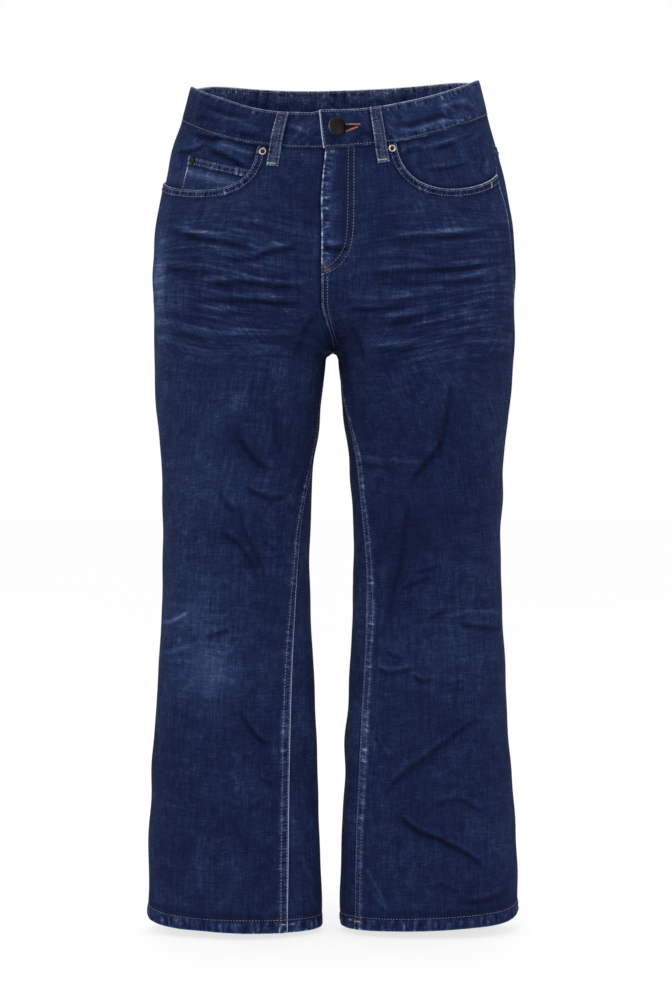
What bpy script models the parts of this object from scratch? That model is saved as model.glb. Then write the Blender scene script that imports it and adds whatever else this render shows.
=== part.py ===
"""Bootcut jeans, standing open and hollow as if filled out, in metres with +Z up.

The origin is the middle of the waist opening, level with the top of the side seams, and the
front faces -Y.  A place on the cloth is told by three things: the leg (LEFT or RIGHT, as the
wearer says them), the drop below the origin, and the turn round the leg, which is 0 at the
outermost point, grows through the front and is negative through the back.
"""

import math
from collections import namedtuple

import bmesh
import bpy
from mathutils import Matrix, Vector

for old in list(bpy.data.objects):
    bpy.data.objects.remove(old)

LEFT, RIGHT = 1, -1
SIDES = {"left": LEFT, "right": RIGHT}

# Cloth and seams
DENIM = 0.0012
SEAM_GAP = 0.0003
WAIST_SEAM_GAP = 0.0005
PATCH_GAP = 0.0007
SEWN = (SEAM_GAP, 0)
TO_BAND = (WAIST_SEAM_GAP, 0)

# Heights, as drops below the origin
CROTCH = 0.304
HEM = 0.947
HEM_DEPTH = 0.015
FRONT_DIP = 0.050
BACK_RISE = 0.010
WAIST_ROLL = 0.0037
BAND_HEIGHT = 0.040

# The rise seam curves in under the body over these heights
FRONT_HOLLOW = 0.170
BACK_HOLLOW = 0.210
HOLLOW_CURVE = 0.87
CLEFT_ROUND = 0.010
CLEFT_HEIGHT = 0.060
ARCH = 0.008
LEGS_PART = 0.070

# Each row is a level section of the body and legs: half width to the outer side, half of the
# gap between the legs, depth before and behind the section's own middle line, that line's
# place, how far the body leans to its left, how far the gap lies off the body's middle, and
# the power of the section's curve, where 2 is an ellipse and more is squarer at the hips.
Section = namedtuple("Section", "drop side gap front back middle lean parting power")
SECTIONS = (
    Section(-0.015, 0.1585, 0.0000, 0.0920, 0.0950, 0.000, 0.0024, 0.0000, 2.10),
    Section(0.000, 0.1622, 0.0000, 0.0930, 0.0960, 0.000, 0.0024, 0.0000, 2.10),
    Section(0.045, 0.1735, 0.0000, 0.0970, 0.1020, 0.000, 0.0020, 0.0000, 2.15),
    Section(0.075, 0.1830, 0.0000, 0.1000, 0.1070, 0.000, 0.0012, 0.0000, 2.20),
    Section(0.120, 0.1938, 0.0000, 0.1020, 0.1120, 0.000, 0.0010, 0.0000, 2.25),
    Section(0.165, 0.2006, 0.0000, 0.1040, 0.1160, 0.000, 0.0004, 0.0000, 2.30),
    Section(0.222, 0.2040, 0.0000, 0.1050, 0.1170, 0.001, 0.0000, 0.0000, 2.35),
    Section(0.265, 0.2037, 0.0000, 0.1040, 0.1120, 0.004, 0.0000, 0.0000, 2.35),
    Section(0.304, 0.2022, 0.0070, 0.1030, 0.1005, 0.008, -0.0004, -0.0014, 2.25),
    Section(0.345, 0.2006, 0.0107, 0.0950, 0.0945, 0.005, -0.0010, -0.0014, 2.15),
    Section(0.410, 0.1950, 0.0178, 0.0840, 0.0870, 0.001, -0.0017, -0.0008, 2.05),
    Section(0.480, 0.1910, 0.0236, 0.0760, 0.0760, 0.000, -0.0022, -0.0008, 2.00),
    Section(0.550, 0.1904, 0.0251, 0.0700, 0.0670, -0.001, -0.0024, -0.0010, 2.00),
    Section(0.620, 0.1927, 0.0232, 0.0660, 0.0610, -0.001, -0.0024, -0.0004, 2.00),
    Section(0.700, 0.1975, 0.0190, 0.0630, 0.0570, -0.001, -0.0024, -0.0006, 2.00),
    Section(0.780, 0.2031, 0.0156, 0.0610, 0.0560, 0.000, -0.0024, -0.0012, 2.00),
    Section(0.860, 0.2070, 0.0125, 0.0600, 0.0570, 0.000, -0.0016, -0.0022, 2.00),
    Section(0.947, 0.2092, 0.0105, 0.0600, 0.0580, 0.000, -0.0010, -0.0026, 2.00),
)

# Where the side seam and the inside leg seam run: the outseam's turn, and how far the inseam
# lies in front of the innermost point.
SeamRow = namedtuple("SeamRow", "drop out_left in_left out_right in_right")
SEAMS = (
    SeamRow(0.000, 0.30, 0.00, -0.08, 0.00),
    SeamRow(0.110, 0.30, 0.00, -0.08, 0.00),
    SeamRow(0.190, 0.12, 0.00, -0.08, 0.00),
    SeamRow(0.304, 0.00, 0.00, -0.10, 0.00),
    SeamRow(0.345, -0.06, 0.16, -0.14, 0.06),
    SeamRow(0.412, -0.12, 0.42, -0.22, 0.16),
    SeamRow(0.480, -0.20, 0.50, -0.32, 0.48),
    SeamRow(0.560, -0.28, 0.62, -0.42, 0.66),
    SeamRow(0.700, -0.32, 0.62, -0.50, 0.78),
    SeamRow(0.947, -0.36, 0.56, -0.60, 0.92),
)

# Soft folds pressed into the front of the legs, as lines from one place to another.  x is
# measured from the middle, positive to the wearer's left; a negative depth stands out.
Fold = namedtuple("Fold", "x drop end_x end_drop width depth")
FOLDS = (
    Fold(-0.118, 0.392, -0.060, 0.452, 0.015, 0.0030),
    Fold(-0.066, 0.350, -0.060, 0.425, 0.013, 0.0020),
    Fold(-0.125, 0.470, -0.078, 0.560, 0.015, 0.0026),
    Fold(-0.186, 0.606, -0.110, 0.596, 0.016, -0.0022),
    Fold(-0.186, 0.640, -0.120, 0.636, 0.014, 0.0022),
    Fold(-0.105, 0.697, -0.066, 0.742, 0.014, 0.0022),
    Fold(0.122, 0.392, 0.082, 0.448, 0.015, 0.0028),
    Fold(0.190, 0.590, 0.130, 0.606, 0.013, 0.0024),
    Fold(0.182, 0.622, 0.112, 0.630, 0.014, -0.0020),
    Fold(0.148, 0.760, 0.110, 0.788, 0.014, 0.0022),
    Fold(0.070, 0.822, 0.176, 0.888, 0.015, 0.0026),
)

# Fly and pockets
FLY_EDGE = -0.0130
FLY_TAPER = 0.050
FLY_WIDTH = 0.036
FLY_LIFT = 0.0011
CENTRE_SHIFT = -0.0080
MOUTH_START = 0.0750
MOUTH_SIDE_DROP = 0.108
MOUTH_FIRST_HANDLE_DROP = 0.150
MOUTH_SECOND_HANDLE = (0.777, 0.138)
FACING_UNDERLAP = 0.012
FACING_KNEE = 0.60
FACING_RECESS = {LEFT: 0.0024, RIGHT: 0.0040}
RECESS_FIRST_TURN = 0.70
RECESS_FIRST_DROP = 0.078
RECESS_RUN = 0.030
YOKE_SIDE_DROP = 0.082
YOKE_CENTRE_DROP = 0.100
SEAT_TOP_DROP = 0.120

# Waistband: its ends lap at the front, the wearer's left end on top
BAND_THICK = 0.0030
BAND_PROUD = 0.0006
LAP_END = -0.0150
LAP_UNDER = 0.0240
LAP_LIFT = 0.0034
LAP_RUN = 0.45
UPPER_SHARE = 0.55

# Grid steps of the faceted cloth
FRONT_COLUMNS = 11
MOUTH_COLUMNS = 7
BACK_COLUMNS = 12
RISE_ROWS = 9
ARCH_ROWS = (0.0015, 0.005, 0.012, 0.028)
LEG_ROWS = 17
BAND_COLUMNS = 58
BAND_ROWS = 3
CROTCH_SHARE = 0.25


def smooth_read(table, drop):
    """The table's row at this drop, by a curve that passes through each row without a kink."""
    drop = min(max(drop, table[0].drop), table[-1].drop)
    after = next(i for i, row in enumerate(table) if row.drop >= drop or i == len(table) - 1)
    after = max(after, 1)
    low, high = table[after - 1], table[after]
    before, beyond = table[max(after - 2, 0)], table[min(after + 1, len(table) - 1)]
    span = high.drop - low.drop
    u = (drop - low.drop) / span
    values = []
    for name in low._fields:
        a, b = getattr(low, name), getattr(high, name)
        slope_a = (b - getattr(before, name)) / (high.drop - before.drop)
        slope_b = (getattr(beyond, name) - a) / (beyond.drop - low.drop)
        values.append(
            a * (1 + 2 * u) * (1 - u) ** 2
            + b * u * u * (3 - 2 * u)
            + span * slope_a * u * (1 - u) ** 2
            - span * slope_b * u * u * (1 - u)
        )
    return type(low)(*values)


def smooth_step(value):
    value = min(max(value, 0.0), 1.0)
    return value * value * (3 - 2 * value)


def reach(rise, height, power):
    """How far the rise seam stands out from the crotch point, from 0 at it to 1."""
    share = min(max(rise / height, 0.0), 1.0)
    return (1 - (1 - share) ** power) ** HOLLOW_CURVE


def other_leg(share, power):
    """On the curve x**power + y**power = 1, the one from the other."""
    return max(1 - min(abs(share), 1.0) ** power, 0.0) ** (1 / power)


def half_section(leg, drop, in_front):
    """The section here, and the centre and half width of the ellipse that this half follows."""
    section = smooth_read(SECTIONS, drop)
    rise = CROTCH - drop
    if rise > 0:
        stands = reach(rise, FRONT_HOLLOW, 4.0) if in_front else reach(rise, BACK_HOLLOW, 3.6)
        cleft = other_leg(stands, section.power)
        half = section.side / (1 + cleft)
        return section, section.side - half, half, cleft
    inner = leg_gap(leg, section) * smooth_step(-rise / LEGS_PART)
    return section, (section.side + inner) / 2, (section.side - inner) / 2, 1.0


def leg_gap(leg, section):
    return section.gap + leg * section.parting


def bare_point(leg, drop, turn):
    """A place on the outer face of the smooth body, with no folds."""
    in_front = math.sin(turn) >= 0
    section, centre, half, cleft = half_section(leg, drop, in_front)
    cosine = math.cos(turn)
    across = centre + half * cosine
    if drop < CROTCH:
        rounding = CLEFT_ROUND * min((CROTCH - drop) / CLEFT_HEIGHT, 1.0)
        size = abs(across)
        extra = (math.hypot(size, rounding) - size) * max(0.0, 1 - size / section.side)
        cosine = (size + extra - centre) / half
    else:
        arch = min((drop - CROTCH) / ARCH, 1.0)
        inner = leg_gap(leg, section) * math.sqrt(1 - (1 - arch) ** 2)
        across += (inner - (centre - half)) * ((1 - cosine) / 2) ** 5
    depth = other_leg(cosine, section.power)
    if in_front:
        along = section.middle - section.front * depth
    else:
        along = section.middle + section.back * depth
    across += SEAM_GAP / 2
    return Vector((section.lean + leg * across, along, -drop))


def outward(leg, drop, turn):
    step_turn, step_drop = 0.01, 0.001
    round_it = bare_point(leg, drop, turn + step_turn) - bare_point(leg, drop, turn - step_turn)
    down = bare_point(leg, drop + step_drop, turn) - bare_point(leg, drop - step_drop, turn)
    return (round_it.cross(down) * leg).normalized()


def fold_lift(place):
    """How far the folds move the cloth of the legs' fronts out at this place."""
    moved = 0.0
    for fold in FOLDS:
        start = Vector((fold.x, -fold.drop))
        run = Vector((fold.end_x, -fold.end_drop)) - start
        here = Vector((place.x, place.z)) - start
        share = here.dot(run) / run.length_squared
        aside = (here - run * share).length / fold.width
        taper = smooth_step(share / 0.3) * smooth_step((1 - share) / 0.3)
        moved -= fold.depth * math.exp(-aside * aside) * taper
    return moved


def on_body(leg, drop, turn, lift=0.0):
    place = bare_point(leg, drop, turn)
    if drop > CROTCH and math.sin(turn) > 0:
        lift += fold_lift(place) * smooth_step(math.sin(turn) * 2)
    return place + outward(leg, drop, turn) * lift


def turn_at(drop, across, in_front=True):
    """The turn of a place above the crotch, this far to the leg's own side of the middle."""
    _, centre, half, _ = half_section(LEFT, drop, in_front)
    turn = math.acos(max(-1.0, min(1.0, (across - centre) / half)))
    return turn if in_front else -turn


def outseam(leg, drop):
    row = smooth_read(SEAMS, drop)
    return row.out_left if leg == LEFT else row.out_right


def inseam(leg, drop):
    row = smooth_read(SEAMS, drop)
    return math.pi - (row.in_left if leg == LEFT else row.in_right)


def fly_line(drop):
    """How far the front edge seam lies from the middle, positive to the wearer's left."""
    return FLY_EDGE * smooth_step((CROTCH - drop) / FLY_TAPER)


def centre_front(leg, drop):
    """The turn of the front panel's inner edge, down the fly and then down the inseam."""
    if drop >= CROTCH:
        return inseam(leg, drop)
    return turn_at(drop, leg * fly_line(drop))


def centre_back(leg, drop):
    if drop >= CROTCH:
        return inseam(leg, drop) - 2 * math.pi
    return turn_at(drop, 0.0, in_front=False)


def waist_edge(leg, turn):
    """Drop of the waistband's top edge: low in front, a little high behind, rolled sideways."""
    sine, cosine = math.sin(turn), math.cos(turn)
    if sine > 0:
        drop = FRONT_DIP * sine**1.6
    else:
        drop = -BACK_RISE * (1 - abs(cosine) ** 12)
    return drop - leg * WAIST_ROLL * math.tanh(cosine * 2.6)


def waist_seam(leg, turn):
    return waist_edge(leg, turn) + BAND_HEIGHT


def hem_drop(leg, turn):
    """The hem lifts towards the outer side."""
    cosine = math.cos(turn)
    outer = max(cosine, 0.0)
    if leg == LEFT:
        return HEM - 0.0022 - 0.0042 * cosine - 0.007 * outer**10
    return HEM - 0.0030 * cosine - 0.005 * outer**8


def bezier(points, share):
    a, b, c, d = (Vector(point) for point in points)
    rest = 1 - share
    return a * rest**3 + b * (3 * share * rest**2) + c * (3 * share**2 * rest) + d * share**3


def mouth(leg, share, out=0.0):
    """Turn and drop along the hip pocket's mouth, from the side seam to the waist seam."""
    waist_drop, body_reach = 0.087, 0.17
    start = turn_at(waist_drop, MOUTH_START + leg * CENTRE_SHIFT)
    wider = out / body_reach
    handle_turn, handle_drop = MOUTH_SECOND_HANDLE
    points = (
        (outseam(leg, MOUTH_SIDE_DROP), MOUTH_SIDE_DROP + out),
        (handle_turn, handle_drop + out),
        (start + 0.01 + wider, MOUTH_FIRST_HANDLE_DROP + out),
        (start + wider, waist_seam(leg, start + wider)),
    )
    return bezier(points, share)


def mix(a, b, share):
    return a * (1 - share) + b * share


def patch(top, bottom, outer, inner, fade=1.0):
    """A sheet's (turn, drop) for a share across and a share down, between four edges."""

    def place(across, down):
        near, far = (1 - down) ** fade, down
        level_top = mix(top(0.0), top(1.0), across)
        level_bottom = mix(bottom(0.0), bottom(1.0), across)
        middle = mix(outer(down), inner(down), across)
        return middle + near * (top(across) - level_top) + far * (bottom(across) - level_bottom)

    return place


def plain_material(name, colour, roughness=0.85, metallic=0.0):
    material = bpy.data.materials.new(name)
    material.use_nodes = True
    shader = material.node_tree.nodes["Principled BSDF"]
    shader.inputs["Base Color"].default_value = (*colour, 1.0)
    shader.inputs["Roughness"].default_value = roughness
    shader.inputs["Metallic"].default_value = metallic
    return material


INDIGO = (0.018, 0.030, 0.095)
INDIGO_DARK = (0.013, 0.021, 0.070)
INDIGO_WORN = (0.030, 0.048, 0.130)


def sheet(name, columns, rows, point, colour):
    """A wall of cloth between point(column, row, 0), its outer face, and point(..., 1)."""
    mesh = bpy.data.meshes.new(name)
    work = bmesh.new()
    bmesh.ops.create_grid(work, x_segments=columns, y_segments=rows, size=1.0)
    column_layer = work.verts.layers.int.new("column")
    row_layer = work.verts.layers.int.new("row")
    for vert in work.verts:
        vert[column_layer] = round((vert.co.x + 1) / 2 * columns)
        vert[row_layer] = round((1 - vert.co.y) / 2 * rows)
    outer = set(work.verts)
    bmesh.ops.extrude_face_region(work, geom=work.faces[:], use_keep_orig=True)
    for vert in work.verts:
        vert.co = point(vert[column_layer], vert[row_layer], 0 if vert in outer else 1)
    bmesh.ops.recalc_face_normals(work, faces=work.faces)
    if work.calc_volume(signed=True) < 0:
        bmesh.ops.reverse_faces(work, faces=work.faces)
    work.to_mesh(mesh)
    work.free()
    mesh.shade_smooth()
    mesh.set_sharp_from_angle(angle=math.radians(50))
    mesh.materials.append(plain_material(name, colour))
    piece = bpy.data.objects.new(name, mesh)
    bpy.context.scene.collection.objects.link(piece)


def laid(points, columns, rows, edges):
    """The grid's points with the named edges drawn in by half of a seam's gap.

    A gap is given as (width, first row), because a panel's inner edge is a seam with its
    fellow in front and behind only below the crotch.
    """
    drawn = dict(points)
    for edge, (gap, first_row) in edges.items():
        for column, row in points:
            beside = {
                "outer": (column + 1, row) if column == 0 else None,
                "inner": (column - 1, row) if column == columns else None,
                "top": (column, row + 1) if row == 0 else None,
                "bottom": (column, row - 1) if row == rows else None,
            }[edge]
            if beside and row >= first_row:
                run = points[beside] - points[column, row]
                drawn[column, row] = drawn[column, row] + run.normalized() * gap / 2
    return drawn


def crowded(share):
    """Columns lie closer together near a panel's two sides, where it turns most."""
    return share - 0.35 * math.sin(2 * math.pi * share) / (2 * math.pi)


def cloth(name, leg, columns, downs, place, lift, edges, colour=INDIGO, thickness=None):
    """A panel of one leg's cloth over the shares in downs, with its edges drawn in.

    thickness gives each row's wall, where that isn't one thickness of denim.
    """
    rows = len(downs) - 1
    walls = thickness or [DENIM] * (rows + 1)
    faces = []
    for depth in (0, 1):
        points = {}
        for column in range(columns + 1):
            for row, down in enumerate(downs):
                turn, drop = place(crowded(column / columns), down)
                points[column, row] = on_body(leg, drop, turn, lift(turn, drop) - depth * walls[row])
        faces.append(laid(points, columns, rows, edges))
    sheet(name, columns, rows, lambda column, row, depth: faces[depth][column, row], colour)


def flat(turn, drop):
    return 0.0


def even(count):
    return [i / count for i in range(count + 1)]


def leg_downs():
    """Shares down a leg panel: the rise, the arch under the crotch, the leg and the hem fold."""
    leg_length = HEM - CROTCH
    downs = [CROTCH_SHARE * i / RISE_ROWS for i in range(RISE_ROWS + 1)]
    drops = list(ARCH_ROWS)
    first, last = drops[-1], leg_length - HEM_DEPTH
    drops += [mix(first, last, i / LEG_ROWS) for i in range(1, LEG_ROWS + 1)]
    drops += [leg_length]
    return downs + [mix(CROTCH_SHARE, 1, drop / leg_length) for drop in drops]


DOWNS = leg_downs()


def edge_drop(down, start, end, crowd):
    """Drop along a leg panel's edge: shares up to the crotch's cover the rise, the rest the leg."""
    if down <= CROTCH_SHARE:
        return CROTCH - (CROTCH - start) * (1 - down / CROTCH_SHARE) ** crowd
    return mix(CROTCH, end, (down - CROTCH_SHARE) / (1 - CROTCH_SHARE))


def front_panel(side, leg):
    """From the waist seam and pocket mouth to the hem, its inner edge the fly and inseam."""
    corner = crowded(MOUTH_COLUMNS / FRONT_COLUMNS)
    mouth_end = mouth(leg, 1.0)
    fly_top = waist_seam(leg, math.pi / 2)
    fly_turn = centre_front(leg, fly_top)

    def top(across):
        if across <= corner:
            return mouth(leg, across / corner)
        turn = mix(mouth_end.x, fly_turn, (across - corner) / (1 - corner))
        return Vector((turn, waist_seam(leg, turn)))

    def outer(down):
        drop = edge_drop(down, MOUTH_SIDE_DROP, hem_drop(leg, outseam(leg, HEM)), 1.1)
        return Vector((outseam(leg, drop), drop))

    def inner(down):
        drop = edge_drop(down, top(1.0).y, hem_drop(leg, inseam(leg, HEM)), 1.5)
        return Vector((centre_front(leg, drop), drop))

    def bottom(across):
        turn = mix(outseam(leg, HEM), inseam(leg, HEM), across)
        return Vector((turn, hem_drop(leg, turn)))

    def lift(turn, drop):
        if leg == RIGHT or drop > CROTCH:
            return 0.0
        across = bare_point(leg, drop, turn).x - fly_line(drop)
        return FLY_LIFT * smooth_step((FLY_WIDTH - across) / 0.012) * smooth_step((CROTCH - drop) / 0.03)

    cloth(
        f"front_panel_{side}",
        leg,
        FRONT_COLUMNS,
        DOWNS,
        patch(top, bottom, outer, inner, fade=4.0),
        lift,
        {"outer": SEWN, "top": TO_BAND, "inner": (SEAM_GAP, RISE_ROWS)},
        thickness=[DENIM] * (len(DOWNS) - 2) + [2 * DENIM] * 2,
    )


def yoke_seam(turn):
    """Drop of the seam under the back yoke, which dips to the centre back."""
    share = smooth_step(abs(turn) / (math.pi / 2))
    return mix(YOKE_SIDE_DROP, YOKE_CENTRE_DROP, share)


def back_panel(side, leg):
    """From the yoke to the hem, its inner edge the seat seam and the inseam."""
    start_turn = outseam(leg, YOKE_SIDE_DROP)
    end_turn = centre_back(leg, YOKE_CENTRE_DROP)

    def top(across):
        turn = mix(start_turn, end_turn, across)
        return Vector((turn, yoke_seam(turn)))

    def outer(down):
        if down < 0:
            return top(0.0)
        drop = edge_drop(down, MOUTH_SIDE_DROP, hem_drop(leg, outseam(leg, HEM)), 1.1)
        return Vector((outseam(leg, drop), drop))

    def inner(down):
        if down < 0:
            return top(1.0)
        drop = edge_drop(down, SEAT_TOP_DROP, hem_drop(leg, inseam(leg, HEM)), 1.5)
        return Vector((centre_back(leg, drop), drop))

    def bottom(across):
        turn = mix(outseam(leg, HEM), inseam(leg, HEM) - 2 * math.pi, across)
        return Vector((turn, hem_drop(leg, turn)))

    def place(across, down):
        if down < 0:
            return top(across)
        sag = yoke_seam(mix(start_turn, end_turn, across)) - mix(top(0.0).y, top(1.0).y, across)
        middle = mix(outer(down), inner(down), across)
        middle.y += (1 - down) ** 4 * sag
        return middle + down * (bottom(across) - mix(bottom(0.0), bottom(1.0), across))

    cloth(
        f"back_panel_{side}",
        leg,
        BACK_COLUMNS,
        [-1.0] + DOWNS,
        place,
        flat,
        {"outer": SEWN, "top": SEWN, "inner": (SEAM_GAP, RISE_ROWS + 1)},
        thickness=[DENIM] * (len(DOWNS) - 1) + [2 * DENIM] * 2,
    )


def back_yoke(side, leg):
    """The shaped strip between the waistband and the back panel."""

    def place(across, down):
        high_turn = mix(outseam(leg, 0.045), centre_back(leg, 0.030), across)
        low_turn = mix(outseam(leg, YOKE_SIDE_DROP), centre_back(leg, YOKE_CENTRE_DROP), across)
        drop = mix(waist_seam(leg, high_turn), yoke_seam(low_turn), down)
        return Vector((mix(outseam(leg, drop), centre_back(leg, drop), across), drop))

    cloth(f"back_yoke_{side}", leg, BACK_COLUMNS, even(3), place, flat,
          {"outer": SEWN, "top": TO_BAND, "bottom": SEWN})


def facing_recess(leg, turn, drop):
    """The facing is flush at the side seam and sinks under the front panel near the mouth."""
    near_waist = smooth_step((turn - RECESS_FIRST_TURN) / (1 - RECESS_FIRST_TURN))
    near_foot = smooth_step((drop - RECESS_FIRST_DROP) / RECESS_RUN)
    return FACING_RECESS[leg] * max(near_waist, near_foot)


def pocket_facing(side, leg):
    """The hip pocket's denim facing, seen inside the mouth and lapped under its edge."""

    def bottom(across):
        return mouth(leg, across * FACING_KNEE, FACING_UNDERLAP)

    def inner(down):
        return mouth(leg, mix(1, FACING_KNEE, down), FACING_UNDERLAP)

    def top(across):
        turn = mix(outseam(leg, 0.045), inner(0.0).x, across)
        return Vector((turn, waist_seam(leg, turn)))

    def outer(down):
        drop = mix(top(0.0).y, bottom(0.0).y, down)
        return Vector((outseam(leg, drop), drop))

    cloth(
        f"pocket_facing_{side}",
        leg,
        9,
        even(5),
        patch(top, bottom, outer, inner),
        lambda turn, drop: -facing_recess(leg, turn, drop),
        {"outer": SEWN, "top": TO_BAND},
        colour=INDIGO_DARK,
    )


def coin_lift(turn, drop):
    return PATCH_GAP + DENIM - facing_recess(RIGHT, turn, drop)


def coin_pocket():
    """A small pocket on the right facing, its foot caught under the hip pocket's mouth."""
    corners = {"outer_top": (0.160, 0.091), "inner_top": (0.088, 0.1125),
               "outer_low": (0.169, 0.126), "inner_low": (0.094, 0.139)}
    turned = {key: Vector((turn_at(drop, x), drop)) for key, (x, drop) in corners.items()}

    def place(across, down):
        high = mix(turned["outer_top"], turned["inner_top"], across)
        low = mix(turned["outer_low"], turned["inner_low"], across)
        low.y += 0.008 * math.sin(math.pi * across)
        return mix(high, low, down)

    cloth("coin_pocket", RIGHT, 7, even(4), place, coin_lift, {}, colour=INDIGO_WORN)


def back_pocket(side, leg):
    """A plain patch pocket on the seat, its foot coming to a blunt point."""
    top_width, foot_width, depth, point = 0.140, 0.122, 0.135, 0.018
    middle_across, top_drop, tilt = 0.088, 0.128, 0.010

    def place(across, down):
        width = mix(top_width, foot_width, down)
        x = middle_across + 0.004 * down + width * (0.5 - across)
        drop = top_drop + tilt * across + depth * down
        drop += point * down * (1 - abs(2 * across - 1))
        return Vector((turn_at(drop, x, in_front=False), drop))

    cloth(f"back_pocket_{side}", leg, 8, even(7), place,
          lambda turn, drop: PATCH_GAP + DENIM, {})


def band_lift(turn):
    """How far the waistband stands off the body: its upper end out, its under end in.

    The turn is the left leg's, carried on through the back to the right side and the front.
    """
    upper = smooth_step(1 - (math.pi / 2 - turn) / LAP_RUN)
    under = smooth_step(1 - (turn + 1.5 * math.pi) / LAP_RUN)
    return BAND_PROUD + LAP_LIFT * (UPPER_SHARE * upper - (1 - UPPER_SHARE) * under)


def waistband():
    """One strip from its buttonhole end, round the back, to its button end under the lap."""
    middle = FRONT_DIP + BAND_HEIGHT / 2
    first = turn_at(middle, LAP_END)
    last = turn_at(middle, LAP_UNDER) - 2 * math.pi

    def point(column, row, depth):
        turn = mix(first, last, column / BAND_COLUMNS)
        drop = waist_edge(LEFT, turn) + BAND_HEIGHT * row / BAND_ROWS
        if row == BAND_ROWS:
            drop -= WAIST_SEAM_GAP / 2
        return on_body(LEFT, drop, turn, band_lift(turn) - depth * BAND_THICK)

    sheet("waistband", BAND_COLUMNS, BAND_ROWS, point, INDIGO)


def belt_loop(name, across, in_front, lean_top=0.0):
    """A strap from the band's top edge down past the waist seam, bowed a little off the band."""
    width, below, thick = 0.012, 0.018, 0.0018
    columns, rows = 2, 8
    length = BAND_HEIGHT + below

    def point(column, row, depth):
        down = row / rows
        x = across + lean_top * (1 - down) + width * (column / columns - 0.5)
        turn = turn_at(0.070 if in_front else 0.020, x, in_front)
        drop = waist_edge(LEFT, turn) + 0.0005 + length * down
        past = smooth_step((length * down - BAND_HEIGHT + 0.004) / 0.008)
        seat = band_lift(turn) * (1 - past) + SEAM_GAP + 0.0002
        bow = 0.0014 * math.sin(math.pi * min(down / 0.8, 1.0))
        return on_body(LEFT, drop, turn, seat + bow + thick * (1 - depth))

    sheet(name, columns, rows, point, INDIGO_WORN)


def turned_metal(name, profile, place, facing, colour, roughness, steps=24):
    """A solid turned from (radius, height) points, standing on place and facing outwards."""
    mesh = bpy.data.meshes.new(name)
    work = bmesh.new()
    verts = [work.verts.new((radius, 0.0, height)) for radius, height in profile]
    edges = [work.edges.new(pair) for pair in zip(verts, verts[1:])]
    bmesh.ops.spin(work, geom=verts + edges, cent=(0, 0, 0), axis=(0, 0, 1),
                   angle=2 * math.pi, steps=steps, use_merge=True)
    bmesh.ops.remove_doubles(work, verts=work.verts, dist=1e-6)
    bmesh.ops.recalc_face_normals(work, faces=work.faces)
    work.to_mesh(mesh)
    work.free()
    mesh.shade_smooth()
    mesh.set_sharp_from_angle(angle=math.radians(40))
    mesh.materials.append(plain_material(name, colour, roughness, 1.0))
    piece = bpy.data.objects.new(name, mesh)
    bpy.context.scene.collection.objects.link(piece)
    piece.matrix_world = Matrix.Translation(place) @ facing.to_track_quat("Z", "Y").to_matrix().to_4x4()
    return piece


def waist_button():
    """A shank button through the lap: a domed dark cap in a raised rim."""
    drop = 0.0675
    turn = turn_at(drop, 0.002)
    facing = outward(LEFT, drop, turn)
    place = on_body(LEFT, drop, turn, band_lift(turn) + SEAM_GAP + 0.0001)
    profile = ((0.0, 0.0), (0.0060, 0.0), (0.0062, 0.0008), (0.0096, 0.0012), (0.0103, 0.0022),
               (0.0100, 0.0032), (0.0092, 0.0035), (0.0086, 0.0030), (0.0060, 0.0037),
               (0.0030, 0.0041), (0.0, 0.0042))
    turned_metal("waist_button", profile, place, facing, (0.020, 0.019, 0.018), 0.35, 32)


RIVET = ((0.0, 0.0), (0.0036, 0.0), (0.0041, 0.0006), (0.0037, 0.0013), (0.0028, 0.0015),
         (0.0019, 0.0012), (0.0014, 0.0005), (0.0, 0.0007))


def rivet(name, leg, across, drop, lift, colour):
    turn = turn_at(drop, across)
    place = on_body(leg, drop, turn, lift(turn, drop) + SEAM_GAP)
    turned_metal(name, RIVET, place, outward(leg, drop, turn), colour, 0.35, 18)


for side, leg in SIDES.items():
    front_panel(side, leg)
    back_panel(side, leg)
    back_yoke(side, leg)
    pocket_facing(side, leg)
    back_pocket(side, leg)
coin_pocket()
waistband()
belt_loop("belt_loop_front_right", -0.0640, True, 0.0060)
belt_loop("belt_loop_front_left", 0.0505, True, -0.0060)
belt_loop("belt_loop_back_right", -0.0900, False)
belt_loop("belt_loop_back_left", 0.0900, False)
belt_loop("belt_loop_centre_back", 0.0040, False)
waist_button()
rivet("rivet_front_right", RIGHT, 0.0770, 0.0930, flat, (0.60, 0.58, 0.54))
rivet("rivet_front_left", LEFT, 0.0622, 0.0900, flat, (0.60, 0.58, 0.54))
rivet("rivet_coin_pocket", RIGHT, 0.1560, 0.0970, lambda *place: coin_lift(*place) + PATCH_GAP,
      (0.05, 0.05, 0.055))
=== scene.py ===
"""Looks for the bootcut jeans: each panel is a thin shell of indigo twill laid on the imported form,
with its seams, folds and fading, and the topstitching and metal are made on the finished cloth."""

import math

import bmesh
import bpy
import numpy as np
from mathutils import Matrix, Vector
from mathutils.bvhtree import BVHTree


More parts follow.
